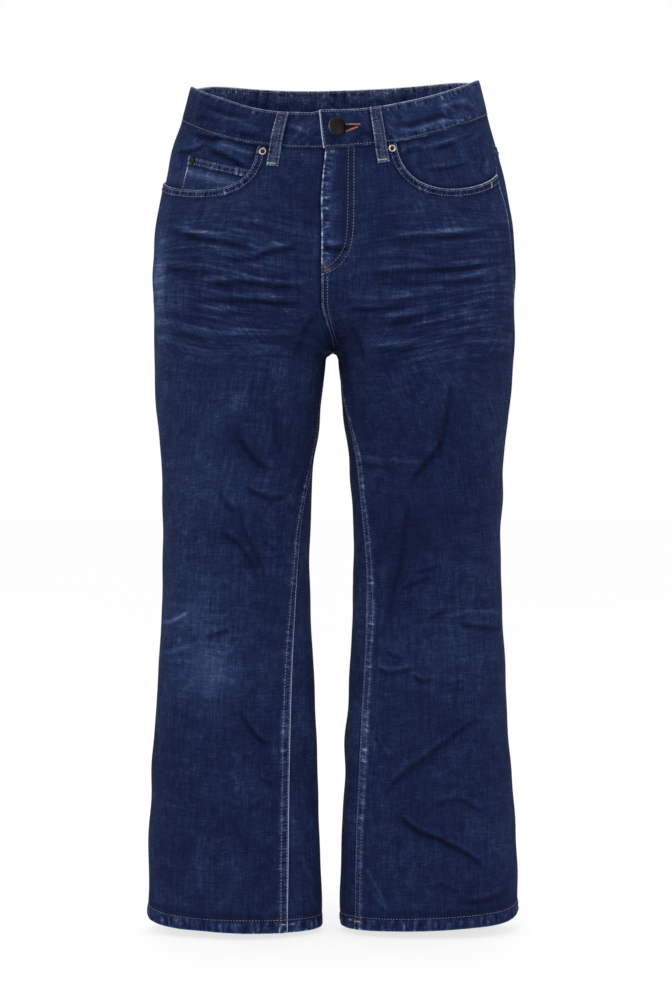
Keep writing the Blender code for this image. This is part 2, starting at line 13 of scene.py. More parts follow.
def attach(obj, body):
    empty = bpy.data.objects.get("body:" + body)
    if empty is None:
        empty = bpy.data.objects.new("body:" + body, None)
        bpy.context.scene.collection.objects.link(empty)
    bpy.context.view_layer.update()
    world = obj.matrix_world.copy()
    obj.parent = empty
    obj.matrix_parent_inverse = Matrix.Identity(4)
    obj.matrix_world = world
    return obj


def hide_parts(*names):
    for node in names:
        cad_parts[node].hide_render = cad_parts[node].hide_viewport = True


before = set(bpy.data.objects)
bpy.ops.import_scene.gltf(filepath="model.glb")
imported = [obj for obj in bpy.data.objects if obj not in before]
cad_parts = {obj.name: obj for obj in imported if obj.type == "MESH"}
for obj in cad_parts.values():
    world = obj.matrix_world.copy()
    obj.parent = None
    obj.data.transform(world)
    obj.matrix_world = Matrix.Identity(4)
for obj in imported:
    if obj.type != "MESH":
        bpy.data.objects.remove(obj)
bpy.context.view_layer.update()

for leftover in ("Cube", "Light", "Camera"):
    if leftover in bpy.data.objects:
        bpy.data.objects.remove(bpy.data.objects[leftover])

# ---------------------------------------------------------------------------------------------
# Camera: level, at half the height of the jeans and square to their front.
# ---------------------------------------------------------------------------------------------
lens = bpy.data.cameras.new("camera")
lens.sensor_width = 36.0
lens.lens = 71.1
lens.dof.use_dof = False
camera = bpy.data.objects.new("camera", lens)
camera.location = (0.0028, -2.25, -0.4746)
camera.rotation_euler = (math.pi / 2, 0.0, 0.0)
bpy.context.scene.collection.objects.link(camera)
bpy.context.scene.camera = camera

# ---------------------------------------------------------------------------------------------
# Front panels: indigo warp-faced twill, cut from waist to hem.  The left one laps over the right
# at the fly, and both lap over the back panels down the inside leg, where the seam is felled.
# A place on the cloth is told by the leg, the drop below the waist and the turn round the leg,
# which is 0 at the outermost point, grows through the front and is negative through the back.
# ---------------------------------------------------------------------------------------------
LEFT, RIGHT = 1, -1
CROTCH = 0.304
HEM = 0.947
HEM_DEPTH = 0.0140
WALL = 0.0012
TUCK = 0.0040

# drop, half width, half gap between the legs, depth before and behind the middle line, that
# line's place, lean to the left, how far the gap lies off the middle, power of the curve
SECTIONS = np.array((
    (-0.015, 0.1585, 0.0000, 0.0920, 0.0950, 0.000, 0.0024, 0.0000, 2.10),
    (0.000, 0.1622, 0.0000, 0.0930, 0.0960, 0.000, 0.0024, 0.0000, 2.10),
    (0.045, 0.1735, 0.0000, 0.0970, 0.1020, 0.000, 0.0020, 0.0000, 2.15),
    (0.075, 0.1830, 0.0000, 0.1000, 0.1070, 0.000, 0.0012, 0.0000, 2.20),
    (0.120, 0.1938, 0.0000, 0.1020, 0.1120, 0.000, 0.0010, 0.0000, 2.25),
    (0.165, 0.2006, 0.0000, 0.1040, 0.1160, 0.000, 0.0004, 0.0000, 2.30),
    (0.222, 0.2040, 0.0000, 0.1050, 0.1170, 0.001, 0.0000, 0.0000, 2.35),
    (0.265, 0.2037, 0.0000, 0.1040, 0.1120, 0.004, 0.0000, 0.0000, 2.35),
    (0.304, 0.2022, 0.0070, 0.1030, 0.1005, 0.008, -0.0004, -0.0014, 2.25),
    (0.345, 0.2006, 0.0104, 0.0950, 0.0945, 0.005, -0.0010, -0.0011, 2.15),
    (0.410, 0.1950, 0.0172, 0.0840, 0.0870, 0.001, -0.0017, -0.0002, 2.05),
    (0.480, 0.1912, 0.0229, 0.0760, 0.0760, 0.000, -0.0020, -0.0001, 2.00),
    (0.550, 0.1915, 0.0244, 0.0700, 0.0670, -0.001, -0.0013, -0.0016, 2.00),
    (0.620, 0.1932, 0.0225, 0.0660, 0.0610, -0.001, -0.0019, -0.0012, 2.00),
    (0.700, 0.1978, 0.0183, 0.0630, 0.0570, -0.001, -0.0021, -0.0010, 2.00),
    (0.780, 0.2029, 0.0148, 0.0610, 0.0560, 0.000, -0.0021, -0.0013, 2.00),
    (0.860, 0.2086, 0.0117, 0.0600, 0.0570, 0.000, -0.0010, -0.0021, 2.00),
    (0.947, 0.2092, 0.0105, 0.0600, 0.0580, 0.000, 0.0006, -0.0026, 2.00),
))

# drop, the outseam's turn on the left and right leg, and how far the inseam lies before the
# innermost point on each
SEAMS = np.array((
    (0.000, 0.24, -0.08, 0.00, 0.00),
    (0.082, 0.26, -0.08, 0.00, 0.00),
    (0.115, 0.34, -0.08, 0.00, 0.00),
    (0.150, 0.26, -0.08, 0.00, 0.00),
    (0.190, 0.245, -0.08, 0.00, 0.00),
    (0.240, 0.240, -0.09, 0.00, 0.00),
    (0.304, 0.225, -0.10, 0.00, 0.00),
    (0.345, 0.180, -0.14, 0.16, 0.06),
    (0.412, 0.040, -0.22, 0.42, 0.16),
    (0.480, -0.158, -0.32, 0.50, 0.46),
    (0.560, -0.27, -0.42, 0.62, 0.58),
    (0.700, -0.32, -0.50, 0.62, 0.78),
    (0.947, -0.36, -0.60, 0.56, 0.92),
))


def row_at(table, drop):
    """The table's columns at each drop, by a curve through every row without a kink."""
    drops = table[:, 0]
    drop = np.clip(drop, drops[0], drops[-1])
    high = np.clip(np.searchsorted(drops, drop), 1, len(drops) - 1)
    low, before = high - 1, np.maximum(high - 2, 0)
    beyond = np.minimum(high + 1, len(drops) - 1)
    span = drops[high] - drops[low]
    u = ((drop - drops[low]) / span)[..., None]
    slope_low = (table[high] - table[before]) * (span / (drops[high] - drops[before]))[..., None]
    slope_high = (table[beyond] - table[low]) * (span / (drops[beyond] - drops[low]))[..., None]
    rows = table[low] * (1 + 2 * u) * (1 - u) ** 2 + table[high] * u * u * (3 - 2 * u)
    rows = rows + slope_low * u * (1 - u) ** 2 - slope_high * u * u * (1 - u)
    return np.moveaxis(rows, -1, 0)[1:]


def step(value):
    value = np.clip(value, 0.0, 1.0)
    return value * value * (3 - 2 * value)


def mix(a, b, share):
    return a * (1 - share) + b * share


def arc(share, power):
    """On the curve x**power + y**power = 1, the one from the other."""
    return np.maximum(1 - np.minimum(np.abs(share), 1.0) ** power, 0.0) ** (1 / power)


def half_section(leg, drop, front):
    """The section's values and the centre and half width of the curve that this half follows."""
    values = row_at(SECTIONS, drop)
    side, gap, _, _, _, _, parting, power = values
    share = np.clip((CROTCH - drop) / np.where(front, 0.170, 0.210), 0.0, 1.0)
    stands = (1 - (1 - share) ** np.where(front, 4.0, 3.6)) ** 0.87
    inner = (gap + leg * parting) * step((drop - CROTCH) / 0.070)
    half = np.where(drop < CROTCH, side / (1 + arc(stands, power)), (side - inner) / 2)
    centre = np.where(drop < CROTCH, side - half, (side + inner) / 2)
    return values, centre, half


def body(leg, drop, turn):
    """Places on the smooth outer form."""
    drop, turn = np.broadcast_arrays(np.asarray(drop, float), np.asarray(turn, float))
    front = np.sin(turn) >= 0
    values, centre, half = half_section(leg, drop, front)
    side, gap, fore, aft, middle, lean, parting, power = values
    cosine = np.cos(turn)
    across = centre + half * cosine
    size = np.abs(across)
    rounding = 0.010 * np.clip((CROTCH - drop) / 0.060, 0.0, 1.0)
    extra = (np.hypot(size, rounding) - size) * np.maximum(0.0, 1 - size / side)
    arch = np.clip((drop - CROTCH) / 0.008, 0.0, 1.0)
    inner = (gap + leg * parting) * np.sqrt(1 - (1 - arch) ** 2)
    parted = across + (inner - centre + half) * ((1 - cosine) / 2) ** 5
    rising = drop < CROTCH
    depth = arc(np.where(rising, (size + extra - centre) / half, cosine), power)
    along = middle + np.where(front, -fore, aft) * depth
    across = np.where(rising, across, parted) + 0.00015
    return np.stack((lean + leg * across, along, -drop), -1)


def outward(leg, drop, turn):
    round_it = body(leg, drop, turn + 0.01) - body(leg, drop, turn - 0.01)
    down = body(leg, drop + 0.001, turn) - body(leg, drop - 0.001, turn)
    out = np.cross(round_it, down) * leg
    return out / np.maximum(np.linalg.norm(out, axis=-1, keepdims=True), 1e-12)


def turn_at(drop, across, front=True):
    """The turn of a place above the crotch, this far to the leg's own side of the middle."""
    _, centre, half = half_section(LEFT, np.asarray(drop, float), front)
    turn = np.arccos(np.clip((across - centre) / half, -1.0, 1.0))
    return turn if front else -turn


def outseam(leg, drop):
    return row_at(SEAMS, np.asarray(drop, float))[0 if leg == LEFT else 1]


def inseam(leg, drop):
    return math.pi - row_at(SEAMS, np.asarray(drop, float))[2 if leg == LEFT else 3]


def centre_front(leg, drop):
    """The turn of the front panel's inner edge: down the fly, then down the inside leg."""
    drop = np.asarray(drop, float)
    fly = -0.0130 + 0.0032 * rim(drop - 0.088, 0.024) - 0.0010 * rim(drop - 0.146, 0.020)
    fly = fly * step((CROTCH - drop) / 0.050)
    return np.where(drop >= CROTCH, inseam(leg, drop), turn_at(drop, leg * fly))


# how far to the wearer's left of the middle, as a cosine, and the front edge's rise there
EDGE_RISES = np.array((
    (-1.00, 0.0000), (-0.92, 0.0003), (-0.74, 0.0010), (-0.44, -0.0016), (-0.22, -0.0002),
    (-0.14, 0.0000),
    (-0.11, 0.0016), (-0.05, 0.0020), (0.05, 0.0013), (0.15, 0.0006), (0.30, 0.0009),
    (0.45, 0.0018),
    (0.78, 0.0019), (0.95, 0.0009), (1.00, 0.0000),
))


def waist_level(leg, turn):
    """The waistband's even run: low in front, high behind, rolled a little sideways."""
    sine, cosine = np.sin(turn), np.cos(turn)
    dip = 0.050 * np.maximum(sine, 0.0) ** 1.6
    rise = (0.0120 - 0.0018 * np.tanh(leg * cosine * 3.0)) * (1 - np.abs(cosine) ** 12)
    return np.where(sine > 0, dip, -rise) - leg * 0.0037 * np.tanh(cosine * 2.6)


def waist_edge(leg, turn):
    """Drop of the waistband's top edge, which rides up and sags a little along the front."""
    rise = row_at(EDGE_RISES, np.asarray(leg * np.cos(turn), float))[0]
    return waist_level(leg, turn) - rise * (np.sin(turn) > 0)


def waist_seam(leg, turn):
    return waist_level(leg, turn) + 0.040


def hem_drop(leg, turn):
    """The hem lifts towards the outer side."""
    cosine = np.cos(turn)
    outer = np.maximum(cosine, 0.0)
    if leg == LEFT:
        return HEM - 0.0022 - 0.0042 * cosine - 0.007 * outer**10
    return HEM - 0.0030 * cosine - 0.005 * outer**8


def places(turn, drop):
    """Turns and drops side by side, as one array."""
    turn, drop = np.broadcast_arrays(np.asarray(turn, float), np.asarray(drop, float))
    return np.stack((turn, drop), -1)


def mouth(leg, share, out=0.0):
    """The hip pocket's mouth, from the side seam up to a tuck under the waistband."""
    start = turn_at(0.087, 0.0750 + leg * -0.0080) + out / 0.17
    points = (
        places(outseam(leg, 0.108), 0.108 + out),
        places(0.777, 0.138 + out),
        places(start + 0.01, 0.150 + out),
        places(start, waist_seam(leg, start) - TUCK),
    )
    share = np.asarray(share, float)[..., None]
    weights = ((1 - share) ** 3, 3 * share * (1 - share) ** 2, 3 * share**2 * (1 - share), share**3)
    return sum(weight * point for weight, point in zip(weights, points))


def edge_drop(down, start, end, crowd):
    """Drop along a leg panel's edge: the first quarter of the shares covers the rise."""
    rise = CROTCH - (CROTCH - start) * np.maximum(1 - down / 0.25, 0.0) ** crowd
    return np.where(down <= 0.25, rise, mix(CROTCH, end, (down - 0.25) / 0.75))


def patch(top, bottom, outer, inner, across, down, fade=1.0):
    """Turns and drops for shares across and down, between four edges."""
    across, down = np.broadcast_arrays(across, down)
    a, d = across[..., None], down[..., None]
    bowed_top = top(across) - mix(top(0.0), top(1.0), a)
    bowed_bottom = bottom(across) - mix(bottom(0.0), bottom(1.0), a)
    middle = mix(outer(down), inner(down), a)
    return middle + np.maximum(1 - d, 0.0) ** fade * bowed_top + d * bowed_bottom


def front_place(leg, across, down):
    corner = 0.68
    end = mouth(leg, 1.0)
    fly_turn = centre_front(leg, waist_seam(leg, math.pi / 2))

    def top(share):
        share = np.asarray(share, float)
        turn = mix(end[0], fly_turn, (share - corner) / (1 - corner))
        level = places(turn, waist_seam(leg, turn) - TUCK)
        return np.where((share <= corner)[..., None], mouth(leg, share / corner), level)

    def outer(share):
        drop = edge_drop(share, 0.108, hem_drop(leg, outseam(leg, HEM)), 1.1)
        return places(outseam(leg, drop), drop)

    def inner(share):
        drop = edge_drop(share, top(1.0)[1], hem_drop(leg, inseam(leg, HEM)), 1.5)
        return places(centre_front(leg, drop), drop)

    def bottom(share):
        turn = mix(outseam(leg, HEM), inseam(leg, HEM), np.asarray(share, float))
        return places(turn, hem_drop(leg, turn))

    return patch(top, bottom, outer, inner, across, down, fade=4.0)


EDGE_STEPS = np.array((0.0, 0.0005, 0.0010, 0.0016, 0.0024, 0.0035, 0.0050, 0.0070, 0.0095, 0.0125))


def leg_shares(first):
    """Shares down a leg panel, crowded at its top, under the crotch and at the hem."""
    drops = np.concatenate((
        (0.0008, 0.0016, 0.003, 0.005, 0.0075, 0.0105),
        np.linspace(0.0135, HEM - CROTCH - 0.021, 250),
        HEM - CROTCH - np.array((0.0195, 0.0176, 0.0164, 0.0154, 0.0144, 0.0134, 0.0118, 0.0095,
                                 0.007, 0.005, 0.0032, 0.002, 0.0011, 0.0004, 0.0)),
    ))
    return np.concatenate((first, mix(0.25, 1.0, drops / (HEM - CROTCH))))


def spread(place, leg, downs, middle, before=0.0003, after=0.0003):
    """A grid over a panel, evenly spaced but crowded at its two edges, which it may run past.

    It gives the turn and drop of each point and its distance from the outer and inner edge.
    """
    across = np.linspace(-0.15, 1.15, 157)
    rough = place(leg, across[None, :], downs[:, None])
    lengths = np.linalg.norm(np.diff(body(leg, rough[..., 1], rough[..., 0]), axis=1), axis=-1)
    lengths = np.concatenate((np.zeros((len(downs), 1)), np.cumsum(lengths, axis=1)), axis=1)
    before, after = np.broadcast_to(before, downs.shape), np.broadcast_to(after, downs.shape)
    shares, marks, widths = [], [], []
    for row, length in enumerate(lengths):
        start, end = np.interp((0.0, 1.0), across, length)
        width = end - start
        even = np.linspace(EDGE_STEPS[-1], width - EDGE_STEPS[-1], middle)[1:-1]
        mark = np.concatenate((
            -before[row] * np.array((1.0, 0.4)), EDGE_STEPS, even,
            width - EDGE_STEPS[::-1], width + after[row] * np.array((0.4, 1.0)),
        ))
        shares.append(np.interp(start + mark, length, across))
        marks.append(mark)
        widths.append(width)
    grid = place(leg, np.array(shares), downs[:, None])
    marks = np.array(marks)
    return grid[..., 0], grid[..., 1], marks, np.array(widths)[:, None] - marks


def smoothed(points, count=40):
    """A smooth curve through the points, as this many places."""
    points = np.asarray(points, float)
    if len(points) < 3:
        return mix(points[:1], points[-1:], np.linspace(0, 1, count)[:, None])
    padded = np.concatenate((2 * points[:1] - points[1:2], points, 2 * points[-1:] - points[-2:-1]))
    where = np.linspace(0, len(points) - 1 - 1e-9, count)
    i, t = where.astype(int), (where % 1)[:, None]
    a, b, c, d = (padded[i + k] for k in range(4))
    return 0.5 * (2 * b + (c - a) * t + (2 * a - 5 * b + 4 * c - d) * t**2 + (3 * b - a - 3 * c + d) * t**3)


def beside(points, line):
    """Distance of each point from the line, and how far along the line it lies, in metres."""
    away = np.full(points.shape[:-1], np.inf)
    along = np.zeros(points.shape[:-1])
    passed = 0.0
    for start, end in zip(line, line[1:]):
        run = end - start
        length = np.linalg.norm(run)
        share = np.clip(((points - start) @ run) / max(length**2, 1e-12), 0.0, 1.0)
        distance = np.linalg.norm(points - start - share[..., None] * run, axis=-1)
        nearer = distance < away
        away = np.where(nearer, distance, away)
        along = np.where(nearer, passed + share * length, along)
        passed += length
    return away, along


def rim(away, width):
    return np.exp(-((away / width) ** 2))


def between(away, start, end):
    """1 from start to end, falling off softly over about 1.5 mm on either side."""
    return step((away - start) / 0.0015 + 0.5) * step((end - away) / 0.0015 + 0.5)


# Creases pressed into the fronts, across x and drop in metres: half width, depth (negative
# stands out), how much darker (negative: unfaded dye and painted shade in the fold) or more
# rubbed the cloth is, and the places it runs by
FRONT_CREASES = (
    # whiskers at the right hip
    (0.0045, 0.0011, -0.16, ((-0.190, 0.170), (-0.144, 0.186), (-0.101, 0.195), (-0.082, 0.198))),
    (0.0040, -0.0007, 0.12, ((-0.165, 0.174), (-0.144, 0.178), (-0.120, 0.184))),
    (0.0040, -0.0006, 0.10, ((-0.150, 0.189), (-0.132, 0.196), (-0.114, 0.207))),
    (0.0042, 0.0012, -0.18, ((-0.120, 0.207), (-0.090, 0.211), (-0.066, 0.202), (-0.032, 0.197))),
    (0.0040, 0.0008, -0.11, ((-0.190, 0.214), (-0.160, 0.221), (-0.112, 0.227))),
    (0.0045, 0.0013, -0.17, ((-0.148, 0.238), (-0.093, 0.236), (-0.058, 0.240), (-0.024, 0.242))),
    (0.0038, -0.0008, 0.12, ((-0.121, 0.247), (-0.090, 0.248), (-0.034, 0.246))),
    (0.0042, 0.0012, -0.17, ((-0.160, 0.250), (-0.133, 0.255), (-0.079, 0.257), (-0.024, 0.258))),
    (0.0040, -0.0007, 0.10, ((-0.150, 0.258), (-0.122, 0.262), (-0.098, 0.264))),
    (0.0035, -0.0006, 0.09, ((-0.082, 0.265), (-0.062, 0.267), (-0.042, 0.266))),
    (0.0042, 0.0007, -0.09, ((-0.158, 0.263), (-0.135, 0.268), (-0.108, 0.272))),
    (0.0038, -0.0005, 0.08, ((-0.132, 0.281), (-0.114, 0.281), (-0.098, 0.278))),
    (0.0045, 0.0007, -0.08, ((-0.120, 0.295), (-0.080, 0.292), (-0.034, 0.294))),
    (0.0038, -0.0005, 0.08, ((-0.147, 0.303), (-0.125, 0.296))),
    # whiskers at the left hip
    (0.0045, 0.0011, -0.16, ((0.052, 0.189), (0.094, 0.188), (0.126, 0.185), (0.180, 0.176))),
    (0.0040, -0.0008, 0.12, ((0.054, 0.182), (0.090, 0.182), (0.126, 0.178), (0.178, 0.170))),
    (0.0045, 0.0013, -0.17, ((0.028, 0.227), (0.060, 0.226), (0.083, 0.224), (0.126, 0.221), (0.180, 0.213))),
    (0.0040, -0.0007, 0.13, ((0.074, 0.235), (0.115, 0.228), (0.158, 0.221), (0.182, 0.212))),
    (0.0040, 0.0009, -0.12, ((0.106, 0.236), (0.142, 0.233), (0.172, 0.226))),
    (0.0038, -0.0007, 0.12, ((0.068, 0.250), (0.110, 0.244), (0.142, 0.238), (0.172, 0.230))),
    (0.0038, -0.0006, 0.10, ((0.014, 0.250), (0.050, 0.251), (0.092, 0.248))),
    (0.0045, 0.0012, -0.17, ((0.012, 0.263), (0.050, 0.265), (0.088, 0.257))),
    (0.0040, -0.0007, 0.10, ((0.052, 0.271), (0.080, 0.268), (0.106, 0.262))),
    (0.0040, 0.0007, -0.09, ((0.060, 0.279), (0.080, 0.277), (0.092, 0.274))),
    (0.0038, -0.0005, 0.08, ((0.122, 0.279), (0.155, 0.272), (0.186, 0.264))),
    (0.0042, 0.0007, -0.08, ((0.068, 0.294), (0.090, 0.292), (0.108, 0.288))),
    (0.0038, -0.0005, 0.07, ((0.042, 0.300), (0.064, 0.302), (0.085, 0.300))),
    (0.0042, 0.0006, -0.08, ((0.046, 0.308), (0.070, 0.308), (0.092, 0.304))),
    # across the facings inside the hip pockets
    (0.0040, 0.0013, -0.15, ((-0.140, 0.087), (-0.118, 0.096), (-0.096, 0.110))),
    (0.0036, -0.0012, 0.16, ((-0.130, 0.080), (-0.108, 0.087), (-0.086, 0.096))),
    (0.0034, 0.0014, -0.16, ((-0.156, 0.066), (-0.136, 0.074), (-0.118, 0.074))),
    (0.0030, 0.0012, -0.14, ((-0.176, 0.084), (-0.160, 0.086), (-0.140, 0.082))),
    (0.0034, 0.0014, -0.18, ((0.074, 0.099), (0.084, 0.091), (0.100, 0.087))),
    (0.0034, -0.0012, 0.16, ((0.076, 0.093), (0.104, 0.084), (0.136, 0.075))),
    (0.0034, 0.0014, -0.15, ((0.106, 0.090), (0.134, 0.080), (0.156, 0.067))),
    (0.0030, -0.0012, 0.16, ((0.128, 0.084), (0.152, 0.072), (0.166, 0.060))),
    (0.0030, 0.0012, -0.15, ((0.100, 0.112), (0.128, 0.108), (0.150, 0.100))),
    (0.0028, 0.0006, -0.10, ((0.168, 0.088), (0.164, 0.102), (0.168, 0.117))),
    (0.0028, -0.0006, 0.14, ((0.173, 0.088), (0.170, 0.102), (0.173, 0.116))),
    # drag lines under the fly and by the crotch
    (0.0040, 0.0012, -0.22, ((-0.012, 0.197), (0.000, 0.200), (0.016, 0.199))),
    (0.0050, 0.0012, -0.12, ((-0.020, 0.268), (-0.034, 0.292), (-0.040, 0.318))),
    (0.0050, 0.0012, -0.12, ((0.016, 0.276), (0.028, 0.297), (0.034, 0.325))),
    # right thigh
    (0.0060, -0.0008, 0.07, ((-0.095, 0.349), (-0.116, 0.373), (-0.150, 0.398))),
    (0.0050, -0.0006, 0.06, ((-0.153, 0.410), (-0.137, 0.434), (-0.116, 0.448))),
    (0.0110, 0.0030, -0.10, ((-0.118, 0.384), (-0.104, 0.402), (-0.086, 0.427), (-0.062, 0.441))),
    (0.0048, 0.0010, -0.13, ((-0.106, 0.398), (-0.095, 0.414), (-0.082, 0.430), (-0.064, 0.438))),
    (0.0120, 0.0020, -0.05, ((-0.066, 0.346), (-0.065, 0.390), (-0.056, 0.428))),
    (0.0040, 0.0007, -0.10, ((-0.064, 0.356), (-0.064, 0.393), (-0.059, 0.414), (-0.052, 0.425))),
    (0.0048, 0.0011, -0.15, ((-0.098, 0.453), (-0.084, 0.464), (-0.064, 0.469), (-0.048, 0.465))),
    (0.0042, 0.0008, -0.13, ((-0.127, 0.461), (-0.118, 0.472), (-0.106, 0.485))),
    (0.0130, 0.0024, -0.05, ((-0.128, 0.474), (-0.106, 0.512), (-0.076, 0.562))),
    (0.0042, 0.0010, -0.14, ((-0.126, 0.503), (-0.103, 0.520), (-0.091, 0.537), (-0.083, 0.556))),
    (0.0042, 0.0009, -0.12, ((-0.105, 0.466), (-0.097, 0.503), (-0.083, 0.531), (-0.073, 0.556))),
    (0.0038, 0.0006, -0.10, ((-0.077, 0.515), (-0.070, 0.521), (-0.061, 0.527))),
    (0.0040, -0.0006, 0.09, ((-0.101, 0.541), (-0.094, 0.553), (-0.086, 0.566))),
    # right knee and shin
    (0.0035, -0.0012, 0.26, ((-0.197, 0.607), (-0.180, 0.605), (-0.156, 0.592))),
    (0.0130, -0.0018, 0.05, ((-0.190, 0.606), (-0.110, 0.596))),
    (0.0035, -0.0009, 0.14, ((-0.197, 0.642), (-0.176, 0.637), (-0.154, 0.629))),
    (0.0110, 0.0018, -0.03, ((-0.188, 0.626), (-0.150, 0.620), (-0.112, 0.614))),
    (0.0045, 0.0007, -0.12, ((-0.142, 0.622), (-0.130, 0.618), (-0.112, 0.613))),
    (0.0110, 0.0018, -0.05, ((-0.112, 0.692), (-0.088, 0.722), (-0.062, 0.746))),
    (0.0042, 0.0010, -0.19, ((-0.105, 0.701), (-0.092, 0.720), (-0.081, 0.734), (-0.067, 0.742))),
    (0.0036, 0.0005, -0.10, ((-0.084, 0.774), (-0.076, 0.779), (-0.066, 0.784))),
    (0.0080, -0.0008, 0.04, ((-0.176, 0.742), (-0.150, 0.768), (-0.126, 0.802))),
    (0.0035, -0.0005, 0.09, ((-0.152, 0.828), (-0.149, 0.870), (-0.147, 0.912))),
    (0.0050, 0.0007, -0.06, ((-0.120, 0.812), (-0.104, 0.836), (-0.092, 0.866))),
    (0.0030, -0.0004, 0.10, ((-0.039, 0.862), (-0.029, 0.884), (-0.016, 0.906))),
    # left thigh
    (0.0110, 0.0026, -0.06, ((0.128, 0.362), (0.112, 0.410), (0.080, 0.452))),
    (0.0046, 0.0012, -0.16, ((0.130, 0.332), (0.124, 0.371), (0.119, 0.404), (0.108, 0.422), (0.094, 0.437), (0.077, 0.462))),
    (0.0050, -0.0008, 0.08, ((0.092, 0.378), (0.104, 0.402), (0.102, 0.424))),
    (0.0100, 0.0016, -0.05, ((0.086, 0.462), (0.075, 0.525), (0.060, 0.610))),
    (0.0046, 0.0010, -0.12, ((0.086, 0.460), (0.077, 0.498), (0.074, 0.530), (0.065, 0.569), (0.059, 0.612))),
    (0.0034, -0.0009, 0.17, ((0.026, 0.421), (0.062, 0.426), (0.086, 0.428), (0.100, 0.429))),
    (0.0042, 0.0006, -0.09, ((0.024, 0.429), (0.050, 0.434), (0.070, 0.437))),
    (0.0040, 0.0008, -0.12, ((0.072, 0.570), (0.090, 0.561), (0.110, 0.554))),
    (0.0036, 0.0007, -0.12, ((0.089, 0.551), (0.101, 0.547), (0.116, 0.543))),
    # left knee and shin
    (0.0034, -0.0010, 0.20, ((0.119, 0.599), (0.140, 0.594), (0.162, 0.593), (0.190, 0.595))),
    (0.0110, 0.0022, -0.04, ((0.190, 0.580), (0.160, 0.584), (0.128, 0.604))),
    (0.0110, -0.0016, 0.03, ((0.184, 0.636), (0.150, 0.640), (0.112, 0.640))),
    (0.0042, 0.0009, -0.13, ((0.134, 0.606), (0.160, 0.611), (0.190, 0.616))),
    (0.0036, 0.0006, -0.11, ((0.101, 0.602), (0.114, 0.596), (0.126, 0.588))),
    (0.0040, -0.0007, 0.10, ((0.122, 0.596), (0.128, 0.612), (0.131, 0.630))),
    (0.0034, -0.0008, 0.14, ((0.043, 0.652), (0.068, 0.656), (0.090, 0.650))),
    (0.0038, 0.0007, -0.12, ((0.046, 0.656), (0.058, 0.661), (0.068, 0.660), (0.090, 0.655))),
    (0.0036, 0.0007, -0.15, ((0.086, 0.661), (0.097, 0.669), (0.110, 0.667))),
    (0.0034, 0.0005, -0.10, ((0.056, 0.636), (0.066, 0.642), (0.076, 0.646))),
    (0.0120, 0.0022, -0.05, ((0.162, 0.706), (0.112, 0.748), (0.058, 0.800))),
    (0.0050, 0.0009, -0.12, ((0.163, 0.709), (0.134, 0.729), (0.106, 0.751), (0.075, 0.774), (0.054, 0.799))),
    (0.0040, -0.0007, 0.11, ((0.155, 0.706), (0.168, 0.711), (0.188, 0.712))),
    (0.0038, 0.0006, -0.09, ((0.044, 0.731), (0.052, 0.743), (0.059, 0.756))),
    (0.0120, 0.0024, -0.05, ((0.064, 0.812), (0.110, 0.844), (0.176, 0.886))),
    (0.0046, 0.0012, -0.18, ((0.066, 0.812), (0.090, 0.834), (0.117, 0.845), (0.150, 0.863), (0.172, 0.882))),
    (0.0045, 0.0008, -0.11, ((0.108, 0.808), (0.126, 0.802), (0.140, 0.801), (0.164, 0.815))),
    (0.0040, 0.0006, -0.10, ((0.114, 0.892), (0.126, 0.897), (0.140, 0.903))),
    (0.0026, -0.0005, 0.17, ((0.034, 0.874), (0.046, 0.894), (0.060, 0.922))),
    (0.0026, -0.0004, 0.13, ((0.041, 0.902), (0.052, 0.914), (0.066, 0.930))),
    (0.0050, 0.0008, -0.12, ((0.136, 0.912), (0.164, 0.914), (0.196, 0.906))),
)

# Broad patches where the cloth is lighter or darker: worn and less worn places, painted light down
# the outer sides of the hips and legs and painted fill light over the shaded crotch: x, drop, reach
# in each, how much lighter
FRONT_WEAR_AND_LIGHT = (
    (0.120, 0.480, 0.090, 0.150, -0.10),
    (0.120, 0.820, 0.110, 0.110, -0.07),
    (-0.110, 0.830, 0.110, 0.100, -0.07),
    (-0.200, 0.215, 0.016, 0.075, 0.85),
    (0.002, 0.180, 0.020, 0.110, -0.06),
    (-0.142, 0.662, 0.036, 0.045, 0.36),
    (-0.125, 0.420, 0.085, 0.075, 0.10),
    (-0.150, 0.590, 0.050, 0.075, 0.13),
    (-0.168, 0.500, 0.030, 0.110, 0.07),
    (-0.120, 0.760, 0.070, 0.060, -0.03),
    (0.128, 0.620, 0.055, 0.095, 0.09),
    (0.165, 0.560, 0.030, 0.120, 0.04),
    (0.130, 0.800, 0.060, 0.080, 0.03),
    (-0.062, 0.430, 0.040, 0.070, -0.05),
    (0.060, 0.400, 0.050, 0.060, -0.06),
    (-0.024, 0.330, 0.026, 0.034, 0.10),
    (0.026, 0.335, 0.026, 0.034, 0.10),
    (-0.120, 0.150, 0.050, 0.030, 0.05),
    (0.110, 0.140, 0.050, 0.030, 0.05),
    (0.002, 0.150, 0.016, 0.060, 0.07),
)

